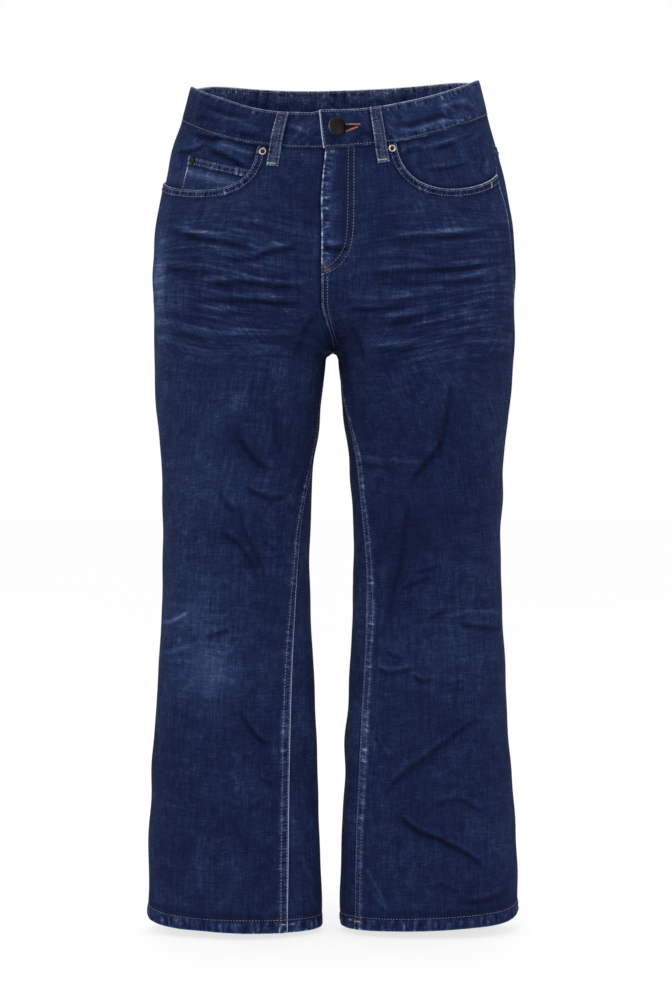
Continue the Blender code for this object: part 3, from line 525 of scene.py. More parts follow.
# The same for the back: slack under the seat, behind the knees and above the hems
BACK_CREASES = (
    (0.0100, 0.0030, -0.08, ((-0.030, 0.318), (-0.070, 0.336), (-0.130, 0.332))),
    (0.0050, 0.0012, -0.14, ((-0.026, 0.312), (-0.060, 0.329), (-0.104, 0.331))),
    (0.0090, 0.0026, -0.08, ((0.030, 0.320), (0.074, 0.334), (0.136, 0.328))),
    (0.0050, 0.0012, -0.14, ((0.024, 0.311), (0.058, 0.327), (0.110, 0.327))),
    (0.0080, 0.0020, -0.07, ((-0.050, 0.362), (-0.090, 0.372), (-0.150, 0.362))),
    (0.0075, 0.0018, -0.07, ((0.056, 0.366), (0.100, 0.372), (0.156, 0.358))),
    (0.0060, -0.0010, 0.10, ((-0.040, 0.346), (-0.080, 0.354), (-0.136, 0.348))),
    (0.0060, -0.0010, 0.10, ((0.044, 0.348), (0.086, 0.354), (0.142, 0.344))),
    (0.0100, 0.0026, -0.06, ((-0.168, 0.560), (-0.120, 0.580), (-0.060, 0.566))),
    (0.0048, 0.0012, -0.16, ((-0.160, 0.566), (-0.120, 0.581), (-0.066, 0.570))),
    (0.0090, 0.0024, -0.06, ((-0.160, 0.606), (-0.112, 0.590), (-0.064, 0.612))),
    (0.0046, 0.0011, -0.16, ((-0.152, 0.604), (-0.112, 0.592), (-0.070, 0.608))),
    (0.0100, 0.0024, -0.06, ((-0.170, 0.634), (-0.116, 0.648), (-0.058, 0.634))),
    (0.0046, 0.0011, -0.14, ((-0.162, 0.638), (-0.118, 0.649), (-0.064, 0.638))),
    (0.0044, -0.0010, 0.16, ((-0.150, 0.585), (-0.130, 0.592), (-0.094, 0.583))),
    (0.0044, -0.0010, 0.16, ((-0.146, 0.621), (-0.112, 0.615), (-0.078, 0.624))),
    (0.0100, 0.0026, -0.06, ((0.170, 0.552), (0.122, 0.574), (0.062, 0.562))),
    (0.0048, 0.0012, -0.16, ((0.162, 0.558), (0.122, 0.575), (0.068, 0.566))),
    (0.0090, 0.0022, -0.06, ((0.162, 0.602), (0.116, 0.586), (0.070, 0.604))),
    (0.0046, 0.0011, -0.16, ((0.156, 0.600), (0.116, 0.588), (0.076, 0.602))),
    (0.0100, 0.0024, -0.06, ((0.172, 0.628), (0.120, 0.644), (0.060, 0.632))),
    (0.0046, 0.0011, -0.14, ((0.164, 0.632), (0.122, 0.645), (0.068, 0.636))),
    (0.0044, -0.0010, 0.16, ((0.150, 0.578), (0.126, 0.582), (0.096, 0.577))),
    (0.0044, -0.0010, 0.16, ((0.148, 0.616), (0.118, 0.610), (0.084, 0.618))),
    (0.0100, 0.0020, -0.05, ((-0.170, 0.742), (-0.120, 0.764), (-0.066, 0.800))),
    (0.0050, 0.0010, -0.12, ((-0.160, 0.747), (-0.118, 0.766), (-0.074, 0.796))),
    (0.0100, 0.0020, -0.05, ((0.176, 0.756), (0.130, 0.770), (0.080, 0.810))),
    (0.0050, 0.0010, -0.12, ((0.168, 0.760), (0.130, 0.772), (0.088, 0.804))),
    (0.0090, 0.0020, -0.06, ((-0.060, 0.846), (-0.110, 0.862), (-0.176, 0.852))),
    (0.0048, 0.0010, -0.13, ((-0.066, 0.848), (-0.110, 0.863), (-0.160, 0.857))),
    (0.0090, 0.0022, -0.06, ((0.062, 0.838), (0.118, 0.858), (0.184, 0.846))),
    (0.0048, 0.0010, -0.13, ((0.070, 0.842), (0.118, 0.859), (0.170, 0.851))),
    (0.0050, 0.0008, -0.09, ((-0.150, 0.412), (-0.120, 0.440), (-0.074, 0.470))),
    (0.0050, 0.0008, -0.09, ((0.156, 0.420), (0.126, 0.444), (0.080, 0.462))),
    (0.0046, 0.0008, -0.10, ((-0.020, 0.268), (-0.052, 0.290), (-0.100, 0.300))),
    (0.0046, 0.0008, -0.10, ((0.020, 0.272), (0.056, 0.290), (0.104, 0.296))),
)

# The same for the back: a worn seat, thighs and hems, and painted shade between the legs at the crotch
BACK_WEAR_AND_SHADE = (
    (-0.088, 0.235, 0.055, 0.050, 0.12),
    (0.090, 0.235, 0.055, 0.050, 0.12),
    (-0.110, 0.470, 0.050, 0.110, 0.05),
    (0.112, 0.470, 0.050, 0.110, 0.05),
    (0.000, 0.300, 0.030, 0.040, -0.16),
    (-0.105, 0.900, 0.060, 0.030, 0.08),
    (0.105, 0.900, 0.060, 0.030, 0.08),
)

rng = np.random.default_rng(7)
WAVES = []
for reach_of, height in ((0.120, 0.00045), (0.080, 0.00032), (0.052, 0.00022), (0.034, 0.00013)):
    for _ in range(5):
        way = rng.normal(size=3)
        way /= np.linalg.norm(way)
        WAVES.append((way * 2 * math.pi / reach_of / rng.uniform(0.8, 1.25), rng.uniform(0, 6.28),
                      height))


def creased(leg, drop, turn):
    """How far folds and slackness move the cloth out, and how much lighter or darker it is."""
    place = body(leg, drop, turn)
    flat_place = place[..., ::2] * (1, -1)
    lift, tone = np.zeros(place.shape[:-1]), np.zeros(place.shape[:-1])
    for creases, wear_and_light_patches, sign in ((FRONT_CREASES, FRONT_WEAR_AND_LIGHT, 1), (BACK_CREASES, BACK_WEAR_AND_SHADE, -1)):
        facing = step(np.sin(turn) * sign * 2)
        for width, depth, shade, run in creases:
            line = smoothed(run, 14)
            near = np.abs(flat_place[..., 1] - line[:, 1].mean()) < np.ptp(line[:, 1]) / 2 + 4 * width
            near &= np.abs(flat_place[..., 0] - line[:, 0].mean()) < np.ptp(line[:, 0]) / 2 + 4 * width
            if not near.any():
                continue
            away, along = beside(flat_place[near], line)
            length = np.linalg.norm(np.diff(line, axis=0), axis=1).sum()
            share = along / length
            fine = width < 0.006
            fading = 0.2 if fine else 0.3
            ends = step(share / fading) * step((1 - share) / fading) * facing[near]
            on_leg = line[:, 1].mean() > 0.34
            width = width * ((0.62 if on_leg else 0.72) if fine else 1.0)
            shape = rim(away, width) * ends
            lift[near] -= depth * shape
            # The fold is darker from unfaded dye and painted shade; a rubbed ridge is lighter.
            tone[near] += (1.50 if fine and shade < 0 else 0.90) * shade * shape
            # A painted highlight, with some rubbing, along the upper side of each fine dark crease.
            if fine and shade < 0:
                ridge, _ = beside(flat_place[near] + (0.0, 2.0 * width), line)
                tone[near] -= 0.60 * shade * rim(ridge, width) * ends
        # Broad patches of wear, some of them painted light or painted shade
        for x, low, reach_x, reach_drop, shade in wear_and_light_patches:
            spot = ((flat_place[..., 0] - x) / reach_x) ** 2 + ((flat_place[..., 1] - low) / reach_drop) ** 2
            tone += 0.45 * shade * np.exp(-spot) * facing
    for way, start, height in WAVES:
        swing = np.sin(place @ way + start)
        lift += height * swing * (0.35 + 0.65 * step((drop - 0.10) / 0.08))
        tone += height * 18 * np.sin(place @ way[[1, 2, 0]] + 2 * start)
    return lift, tone


def whisker_at(leg, drop, turn, place):
    """How strongly fine whiskers show here, and a drop that runs level along them."""
    aside = np.abs(place[..., 0])
    sweep = drop + 0.13 * aside + 0.004 * np.sin(34 * place[..., 0] + 30 * drop)
    front = step((drop - 0.135) / 0.05) * step((0.352 - drop) / 0.07) * step(np.sin(turn) * 2)
    knees = 0.20 * rim(drop - 0.620, 0.070) * step(np.cos(turn) + 0.6)
    back = 0.8 * (rim(drop - 0.600, 0.050) + 0.6 * rim(drop - 0.335, 0.030)) * step(-np.sin(turn) * 2)
    spread_out = 0.20 + 0.80 * step((aside - 0.020) / 0.05) - 0.35 * step((aside - 0.150) / 0.04)
    return 0.14 + front * spread_out + knees + back, sweep


def linear(code):
    """A colour written as a six-figure hex code, as the linear values that a shader takes."""
    parts = [int(code[i:i + 2], 16) / 255 for i in (0, 2, 4)]
    return (*(c / 12.92 if c <= 0.04045 else ((c + 0.055) / 1.055) ** 2.4 for c in parts), 1.0)


def node(tree, kind, settings=None, inputs=None, output=0):
    """Adds a node with its settings, and its inputs as values or links; gives one output."""
    made = tree.nodes.new("ShaderNode" + kind)
    for name, value in (settings or {}).items():
        setattr(made, name, value)
    for name, value in (inputs or {}).items():
        if isinstance(value, bpy.types.NodeSocket):
            tree.links.new(value, made.inputs[name])
        else:
            made.inputs[name].default_value = value
    return made.outputs[output]


def maths(tree, operation, *values):
    return node(tree, "Math", {"operation": operation}, dict(enumerate(values)))


def ramp(tree, value, stops):
    """A colour for each value, from (place, hex code) stops."""
    colour = node(tree, "ValToRGB", {}, {"Fac": value})
    elements = colour.node.color_ramp.elements
    while len(elements) < len(stops):
        elements.new(0.5)
    for element, (place, code) in zip(elements, stops):
        element.position = place
        element.color = linear(code)
    return colour


def scaled(tree, vector, across, down):
    """The vector measured in steps of this many metres across and down."""
    return node(tree, "Mapping", {}, {"Vector": vector, "Scale": (1 / across, 1 / down, 1.0)})


def noise(tree, vector, detail=2.0, roughness=0.5, seed=0.0):
    settings = {"noise_dimensions": "3D"}
    moved = node(tree, "VectorMath", {"operation": "ADD"},
                 {0: vector, 1: (seed * 7.1, seed * 3.7, seed)})
    return node(tree, settings=settings, kind="TexNoise",
                inputs={"Vector": moved, "Scale": 1.0, "Detail": detail, "Roughness": roughness})


def creases_of(tree, vector, seed, sharpness):
    """Thin bright lines that wander over the cloth, from 0 between them to 1 along them."""
    value = maths(tree, "ABSOLUTE",
                  maths(tree, "MULTIPLY_ADD", noise(tree, vector, 1.0, 0.5, seed), 2.0, -1.0))
    return maths(tree, "MAXIMUM", maths(tree, "MULTIPLY_ADD", value, -sharpness, 1.0), 0.0)


# Indigo twill: a dyed warp over a pale weft.  The warp's uneven yarns give upright streaks, the
# weft shows through as fine pale flecks where the surface is rubbed, and puckers catch on seams.
DENIM_STOPS = (
    (0.00, "04050e"), (0.25, "080c22"), (0.50, "111a38"), (0.62, "1b2745"), (0.74, "2b385a"),
    (0.86, "4d5876"), (1.00, "929cb4"),
)


def denim(name, stops, base, grain, sheen=0.02, crumple=1.0):
    """base is how worn the plain cloth is on the ramp, grain how strongly the yarns show."""
    material = bpy.data.materials.new(name)
    material.use_nodes = True
    tree = material.node_tree
    shader = tree.nodes["Principled BSDF"]
    uv = node(tree, "UVMap", {"uv_map": "cloth"})
    seam = node(tree, "UVMap", {"uv_map": "seam"})
    # The per-point tone: rubbing and fading, with painted shadows and highlights beside seams, folds and creases.
    wear_and_painted_light = node(tree, "Attribute", {"attribute_name": "wear_and_painted_light"}, output="Fac")
    pucker = node(tree, "Attribute", {"attribute_name": "pucker"}, output="Fac")
    whisker = node(tree, "Attribute", {"attribute_name": "whisker"}, output="Fac")
    sweep = node(tree, "Attribute", {"attribute_name": "sweep"}, output="Fac")
    girth = node(tree, "SeparateXYZ", {}, {0: uv})
    swept = node(tree, "CombineXYZ", {}, {"X": girth, "Y": sweep})

    warp = noise(tree, scaled(tree, uv, 0.0018, 0.020), 3.0, 0.70)
    weft = noise(tree, scaled(tree, uv, 0.012, 0.0020), 3.0, 0.70, 1.0)
    fleck = noise(tree, scaled(tree, uv, 0.0013, 0.0016), 2.0, 0.6, 2.0)
    yarns = maths(tree, "ADD", maths(tree, "MULTIPLY_ADD", warp, 0.9, -0.45),
                  maths(tree, "MULTIPLY_ADD", weft, 0.8, -0.40))
    yarns = maths(tree, "ADD", yarns, maths(tree, "MULTIPLY_ADD", fleck, 1.0, -0.50))
    yarns = maths(tree, "MULTIPLY", yarns, grain)
    streaks = maths(tree, "MULTIPLY_ADD",
                    noise(tree, scaled(tree, uv, 0.0048, 0.085), 2.0, 0.6, 12.0), 0.20, -0.10)

    # Slack cloth keeps a net of small creases, rubbed pale along their tops, strongest in spots.
    patches = noise(tree, scaled(tree, uv, 0.060, 0.070), 1.0, 0.5, 3.0)
    patches = maths(tree, "MAXIMUM", maths(tree, "MULTIPLY_ADD", patches, 3.2, -1.0), 0.12)
    net = maths(tree, "ADD", creases_of(tree, scaled(tree, uv, 0.026, 0.034), 5.0, 7.0),
                creases_of(tree, scaled(tree, uv, 0.012, 0.010), 6.0, 5.0))
    net = maths(tree, "MULTIPLY", maths(tree, "MULTIPLY", net, patches), 0.05 * crumple)
    cloud = noise(tree, scaled(tree, uv, 0.020, 0.013), 4.0, 0.60, 8.0)
    cloud = maths(tree, "MULTIPLY_ADD", cloud, 0.24 * crumple, -0.12 * crumple)

    # Whiskers: the fine part of the creases that fan out over the hips.
    fan = maths(tree, "ADD", noise(tree, scaled(tree, swept, 0.085, 0.0100), 2.0, 0.55, 9.0),
                noise(tree, scaled(tree, swept, 0.050, 0.0042), 2.0, 0.55, 10.0))
    fan = maths(tree, "MULTIPLY", maths(tree, "MULTIPLY_ADD", fan, 1.0, -1.0), whisker)

    gather = noise(tree, scaled(tree, seam, 0.0040, 0.014), 2.0, 0.65, 4.0)
    gathers = maths(tree, "MULTIPLY", maths(tree, "MULTIPLY_ADD", gather, 2.0, -1.0), pucker)
    # Where the cloth is rubbed even, the yarns and creases stand out less from it.
    calm = maths(tree, "MAXIMUM", maths(tree, "MULTIPLY_ADD", wear_and_painted_light, -1.6, 1.0), 0.5)
    loose = maths(tree, "ADD", yarns, maths(tree, "ADD", streaks, maths(tree, "ADD", net, cloud)))
    value = maths(tree, "MULTIPLY_ADD", loose, maths(tree, "MINIMUM", calm, 1.0),
                  maths(tree, "ADD", wear_and_painted_light, base))
    for part, strength in ((fan, 0.50), (gathers, 0.80)):
        value = maths(tree, "MULTIPLY_ADD", part, strength, value)
    tree.links.new(ramp(tree, value, stops), shader.inputs["Base Color"])

    # The wales lie 1.7 mm apart, over twice the real pitch, so that a render at this size can
    # still hold them; they tilt up to the right as on a right-hand twill.
    wale = node(tree, "TexWave", {"wave_type": "BANDS", "bands_direction": "DIAGONAL"},
                {"Vector": scaled(tree, uv, 0.0027, 0.0045), "Scale": 1.0, "Distortion": 1.5,
                 "Detail": 1.0, "Detail Scale": 1.0}, output="Fac")
    height = maths(tree, "MULTIPLY", wale, 0.00005)
    for part, strength in ((yarns, 0.0007), (net, 0.0040), (cloud, 0.0012), (fan, 0.0022),
                           (gathers, 0.0014)):
        height = maths(tree, "MULTIPLY_ADD", part, strength, height)
    bump = node(tree, "Bump", {}, {"Height": height, "Strength": 0.7, "Distance": 1.0})
    tree.links.new(bump, shader.inputs["Normal"])
    shader.inputs["Roughness"].default_value = 0.95
    shader.inputs["Specular IOR Level"].default_value = 0.06
    shader.inputs["Sheen Weight"].default_value = sheen
    shader.inputs["Sheen Roughness"].default_value = 0.6
    shader.inputs["Sheen Tint"].default_value = linear("7d8cc4")
    return material


indigo = denim("indigo_denim", DENIM_STOPS, 0.490, 0.46)

# The wrong side of the twill, where the undyed weft lies on top.
REVERSE_STOPS = ((0.00, "2b3550"), (0.35, "525d7a"), (0.50, "69738f"), (0.65, "858da5"),
                 (1.00, "b9bdca"))
reverse = denim("indigo_denim_reverse", REVERSE_STOPS, 0.48, 0.55)


def shell(name, outer, inner, cloth_uv, seam_uv, wear_and_painted_light, pucker, whisker, sweep, materials,
          nodes):
    """A closed sheet of cloth between two grids of places, with its painted tone, from rubbing and fading and from
    light and shade, and its other marks as attributes.
    """
    rows, columns = outer.shape[0] - 1, outer.shape[1] - 1
    work = bmesh.new()
    bmesh.ops.create_grid(work, x_segments=columns, y_segments=rows, size=1.0)
    wall = bmesh.ops.extrude_face_region(work, geom=work.faces[:], use_keep_orig=True)
    behind = [part for part in wall["geom"] if isinstance(part, bmesh.types.BMVert)]
    bmesh.ops.translate(work, verts=behind, vec=(0.0, 0.0, -1.0))
    bmesh.ops.recalc_face_normals(work, faces=work.faces)
    mesh = bpy.data.meshes.new(name)
    work.to_mesh(mesh)
    work.free()
    flat_place = np.empty(len(mesh.vertices) * 3)
    mesh.vertices.foreach_get("co", flat_place)
    flat_place = flat_place.reshape(-1, 3)
    column = np.rint((flat_place[:, 0] + 1) / 2 * columns).astype(int)
    row = np.rint((1 - flat_place[:, 1]) / 2 * rows).astype(int)
    depth = flat_place[:, 2] < -0.5
    middle = np.empty(len(mesh.polygons) * 3)
    mesh.polygons.foreach_get("center", middle)
    is_inner = middle.reshape(-1, 3)[:, 2] < -0.75
    place = np.where(depth[:, None], inner[row, column], outer[row, column])
    mesh.vertices.foreach_set("co", place.ravel())
    mesh.polygons.foreach_set("material_index", is_inner.astype(np.int32))
    mesh.update()
    mesh.calc_loop_triangles()
    triangles = np.empty(len(mesh.loop_triangles) * 3, np.int32)
    mesh.loop_triangles.foreach_get("vertices", triangles)
    if np.linalg.det(place[triangles.reshape(-1, 3)]).sum() < 0:
        mesh.flip_normals()
    corners = np.empty(len(mesh.loops), np.int32)
    mesh.loops.foreach_get("vertex_index", corners)
    for uv_name, values in (("cloth", cloth_uv), ("seam", seam_uv)):
        layer = mesh.uv_layers.new(name=uv_name)
        layer.data.foreach_set("uv", values[row, column][corners].ravel())
    for value_name, values in (("wear_and_painted_light", wear_and_painted_light), ("pucker", pucker), ("whisker", whisker),
                               ("sweep", sweep)):
        attribute = mesh.attributes.new(value_name, "FLOAT", "POINT")
        attribute.data.foreach_set("value", values[row, column].astype(np.float32))
    mesh.shade_smooth()
    mesh.set_sharp_from_angle(angle=math.radians(62))
    for material in materials:
        mesh.materials.append(material)
    piece = bpy.data.objects.new(name, mesh)
    bpy.context.scene.collection.objects.link(piece)
    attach(piece, "root")
    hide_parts(*nodes)
    return piece


def cloth(name, leg, turn, drop, lift, seams, wear_and_painted_light, pucker, materials=None,
          wall=WALL):
    """cut is the flat width, length and area of the part of its pattern that shows, in metres.
    """
    place, out = body(leg, drop, turn), outward(leg, drop, turn)
    outer = place + out * lift[..., None]
    inner = place + out * (lift - wall)[..., None]
    steps = np.linalg.norm(np.diff(place, axis=1), axis=-1)
    across = np.concatenate((np.zeros((len(steps), 1)), np.cumsum(steps, axis=1)), axis=1)
    across -= across[:, across.shape[1] // 2][:, None]
    cloth_uv = np.stack((across + leg * 0.5, drop + 0.1), -1)
    away = np.full(drop.shape, 0.05)
    along = np.zeros(drop.shape)
    for number, line in enumerate(seams):
        this_away, this_along = beside(place, line)
        nearer = this_away < away
        away = np.where(nearer, this_away, away)
        along = np.where(nearer, this_along + 3 * number, along)
    seam_uv = np.stack((along, away), -1)
    whisker, sweep = whisker_at(leg, drop, turn, place)
    piece = shell(name + "_cloth", outer, inner, cloth_uv, seam_uv, wear_and_painted_light, pucker, whisker, sweep,
                  materials or (indigo, reverse), (name,))
    return piece


def seam_line(leg, turn_of, start, end, count=160):
    drop = np.linspace(start, end, count)
    return body(leg, drop, turn_of(leg, drop))


def hem_line(leg, up, first=0.0, last=2 * math.pi, count=180):
    turn = np.linspace(first, last, count)
    return body(leg, hem_drop(leg, turn) - up, turn)


def mouth_line(leg, into=0.0, count=80):
    """A line along the pocket mouth, moved on to the panel by this much."""
    path = mouth(leg, np.linspace(0.0, 0.975, count))
    place, out = body(leg, path[:, 1], path[:, 0]), outward(leg, path[:, 1], path[:, 0])
    aside = np.cross(np.gradient(place, axis=0), out) * leg
    aside /= np.linalg.norm(aside, axis=1, keepdims=True)
    return place - aside * into


def roping(along, seed):
    """The twist of a hem: uneven ridges 8 to 14 mm apart, from -1 to 1."""
    waves = np.random.default_rng(seed)
    total = 0.0
    for pitch in (0.0085, 0.0105, 0.0125, 0.0165, 0.0230):
        total = total + np.sin(along * 2 * math.pi / pitch + waves.uniform(0, 6.28))
    return np.clip(total / 2.6, -1, 1)


def hem_shape(leg, drop, turn, place):
    """Lift and tone of the folded hem: a stitched groove with a roped, rubbed roll below it."""
    up = hem_drop(leg, turn) - drop
    away, along = beside(place, hem_line(leg, 0.0))
    twist = roping(along + 0.35 * up, 11 + leg)
    inside = step((HEM_DEPTH + 0.0016 - up) / 0.002)
    lift = 0.0006 * inside - 0.0007 * rim(up - HEM_DEPTH, 0.0011) - 0.0008 * rim(up, 0.0012)
    lift = lift + 0.0006 * twist * rim(up - 0.006, 0.0055) * inside
    tone = inside * (0.05 + 0.12 * twist * rim(up - 0.006, 0.006)) + 0.22 * rim(up, 0.0014)
    # Painted shade in the stitched groove, and a darker band just above the hem's fold.
    tone = tone - 0.16 * rim(up - HEM_DEPTH, 0.0012) - 0.10 * rim(up - HEM_DEPTH - 0.0047, 0.0030)
    return lift, tone


FRONT_FIRST = (0.0, 0.0007, 0.0014, 0.0021, 0.0030, 0.0042, 0.0058, 0.0078, 0.0102)
FLY_PLACES = ((0.0211, 0.070), (0.0211, 0.120), (0.0211, 0.165), (0.0200, 0.186), (0.0163, 0.202),
              (0.0076, 0.215), (-0.0030, 0.2228), (-0.0125, 0.2260))


def fly_shape(place):
    """Lift and inside-ness of the stitched fly, whose outline curves in like a J at its foot."""
    outline = smoothed(FLY_PLACES, 60)
    away, _ = beside(place[..., ::2] * (1, -1), outline)
    x, drop = place[..., 0], -place[..., 2]
    inside = (x < np.interp(drop, outline[:, 1], outline[:, 0])) & (drop < outline[-1, 1])
    return step(np.where(inside, away, -away) / 0.003 + 0.5), away


def front_panel(side, leg):
    downs = leg_shares(np.concatenate((FRONT_FIRST, np.linspace(0.0130, 0.25, 74))))
    rough = front_place(leg, np.array((1.0,)), downs[:, None])[:, 0, 1]
    after = 0.0003 + (0.008 * step((CROTCH - 0.004 - rough) / 0.012) if leg == RIGHT else 0.0 * rough)
    turn, drop, from_out, from_in = spread(front_place, leg, downs, 96, after=after)
    place = body(leg, drop, turn)
    below = step((drop - CROTCH + 0.006) / 0.012)
    lift, tone = creased(leg, drop, turn)
    free = step((drop - waist_seam(leg, turn)) / 0.012)
    lift = lift * free * step((from_out + 0.001) / 0.008) * step((from_in + 0.001) / 0.008)

    at_mouth, _ = beside(place, mouth_line(leg))
    at_mouth = np.where(drop < 0.19, at_mouth, 1.0)
    lift += 0.0005 * between(at_mouth, 0.0, 0.0092) - 0.0007 * rim(at_mouth, 0.0009)
    tone += (0.54 if leg == LEFT else 0.42) * rim(at_mouth, 0.0011) + (0.0 if leg == LEFT else 0.06) * between(at_mouth, 0.0018, 0.0088)
    # Painted shadow just past the edge of the mouth's turned band, and a darker line down its middle.
    tone -= 0.22 * rim(at_mouth - 0.0099, 0.0010) + 0.10 * rim(at_mouth - 0.0050, 0.0012)

    lift += 0.0009 * between(from_in, -1.0, 0.0108) * below - 0.0006 * rim(np.maximum(from_in, 0), 0.0009)
    worn = 0.34 if leg == LEFT else 0.66
    tone += below * (worn * rim(from_in, 0.0010) + 0.16 * rim(from_in - 0.0106, 0.0011)
                     + (0.14 if leg == LEFT else 0.08) * between(from_in, 0.001, 0.0100))
    lift -= 0.0005 * rim(from_out, 0.0011)
    hip = step((0.31 - drop) / 0.06) if leg == LEFT else 0.0
    tone += (0.26 + 0.32 * hip) * rim(from_out, 0.0012 + 0.0010 * hip) * step((drop - 0.1) / 0.02)
    lift += 0.0007 * hip * rim(from_out - 0.0010, 0.0012) * step((drop - 0.1) / 0.02)

    pucker = between(at_mouth, 0.0010, 0.0090) * 0.9 + between(from_in, 0.0008, 0.0102) * below * 0.6
    pucker += rim(from_out, 0.006) * 0.35
    if leg == LEFT:
        raised, at_rows = fly_shape(place)
        upper = step((CROTCH - drop) / 0.03)
        lift += 0.0009 * raised * upper + 0.0004 * upper * rim(from_in, 0.020)
        worn = 0.40 + 0.14 * roping(drop, 5) - 0.10 * step((drop - 0.220) / 0.01)
        tone += worn * rim(from_in - 0.0004, 0.0012) * step((CROTCH - 0.012 - drop) / 0.02)
        tone += upper * raised * (-0.01 + 0.17 * rim(from_in - 0.0070, 0.0060) - 0.08 * rim(at_rows - 0.0070, 0.0070))
        pucker += upper * (1.0 * rim(from_in - 0.0045, 0.0045) * raised + 0.35 * rim(at_rows, 0.004))
        lift += 0.0006 * between(from_in, -1.0, 0.0075) * upper * step((drop - 0.226) / 0.01)
        tone += 0.12 * rim(from_in - 0.0075, 0.0010) * upper * step((drop - 0.226) / 0.01)
    else:
        under = step(from_in / -0.0012)
        lift = np.where(from_in < 0, lift - 0.0010 * under, lift)
        # Painted shadow beside the edge of the left front, where it laps over the fly.
        tone -= 0.26 * rim(np.maximum(from_in - 0.0005, 0), 0.0020) * (1 - below)
    hem_lift, hem_tone = hem_shape(leg, drop, turn, place)
    lift, tone = lift + hem_lift, tone + hem_tone
    at_band = drop - waist_seam(leg, turn)
    # Painted shadow on the panel just below the waistband.
    tone -= 0.24 * rim(np.maximum(at_band, 0), 0.0020)
    lift = lift - 0.0015 * step(-at_band / 0.0012)
    up = hem_drop(leg, turn) - drop
    pucker += 0.5 * step((HEM_DEPTH + 0.0006 - up) / 0.001)
    wall = mix(WALL, 0.0022, step((HEM_DEPTH + 0.0016 - up) / 0.001))
    seams = (mouth_line(leg), seam_line(leg, inseam, CROTCH, HEM),
             seam_line(leg, outseam, 0.11, HEM),
             hem_line(leg, 0.0), seam_line(leg, centre_front, 0.08, CROTCH))
    return cloth(f"front_panel_{side}", leg, turn, drop, lift, seams, tone, np.clip(pucker, 0, 1),
                 wall=wall)


front_left = front_panel("left", LEFT)
front_right = front_panel("right", RIGHT)


# ---------------------------------------------------------------------------------------------
# Back panels: the same twill, from under the yoke to the hem.  The left one laps over the right
# down the seat, and both run under the fronts at the side seam and the inside leg.
# ---------------------------------------------------------------------------------------------
YOKE_SIDE = 0.082
YOKE_CENTRE = 0.100


def centre_back(leg, drop):
    drop = np.asarray(drop, float)
    return np.where(drop >= CROTCH, inseam(leg, drop) - 2 * math.pi,
                    turn_at(drop, 0.0, front=False))


def yoke_seam(turn):
    return mix(YOKE_SIDE, YOKE_CENTRE, step(np.abs(turn) / (math.pi / 2)))


def yoke_line(leg, up=0.0, count=80):
    turn = np.linspace(outseam(leg, YOKE_SIDE), centre_back(leg, YOKE_CENTRE), count)
    return body(leg, yoke_seam(turn) - up, turn)


def back_place(leg, across, down):
    across, down = np.broadcast_arrays(across, down)
    a = across[..., None]
    start, end = outseam(leg, YOKE_SIDE), centre_back(leg, YOKE_CENTRE)
    turn = mix(start, end, across)
    top = places(turn, yoke_seam(turn))
    low = np.maximum(down, 0.0)
    out_drop = edge_drop(low, 0.108, hem_drop(leg, outseam(leg, HEM)), 1.1)
    in_drop = edge_drop(low, 0.120, hem_drop(leg, inseam(leg, HEM)), 1.5)
    panel = mix(places(outseam(leg, out_drop), out_drop),
                places(centre_back(leg, in_drop), in_drop), a)
    sag = yoke_seam(turn) - mix(yoke_seam(start), yoke_seam(end), across)
    hem_turn = mix(outseam(leg, HEM), inseam(leg, HEM) - 2 * math.pi, across)
    straight = mix(hem_drop(leg, outseam(leg, HEM)), hem_drop(leg, inseam(leg, HEM)), across)
    panel[..., 1] += np.maximum(1 - low, 0.0) ** 4 * sag + low * (hem_drop(leg, hem_turn) - straight)
    return mix(top, panel, np.minimum(1 + down, 1.0)[..., None])


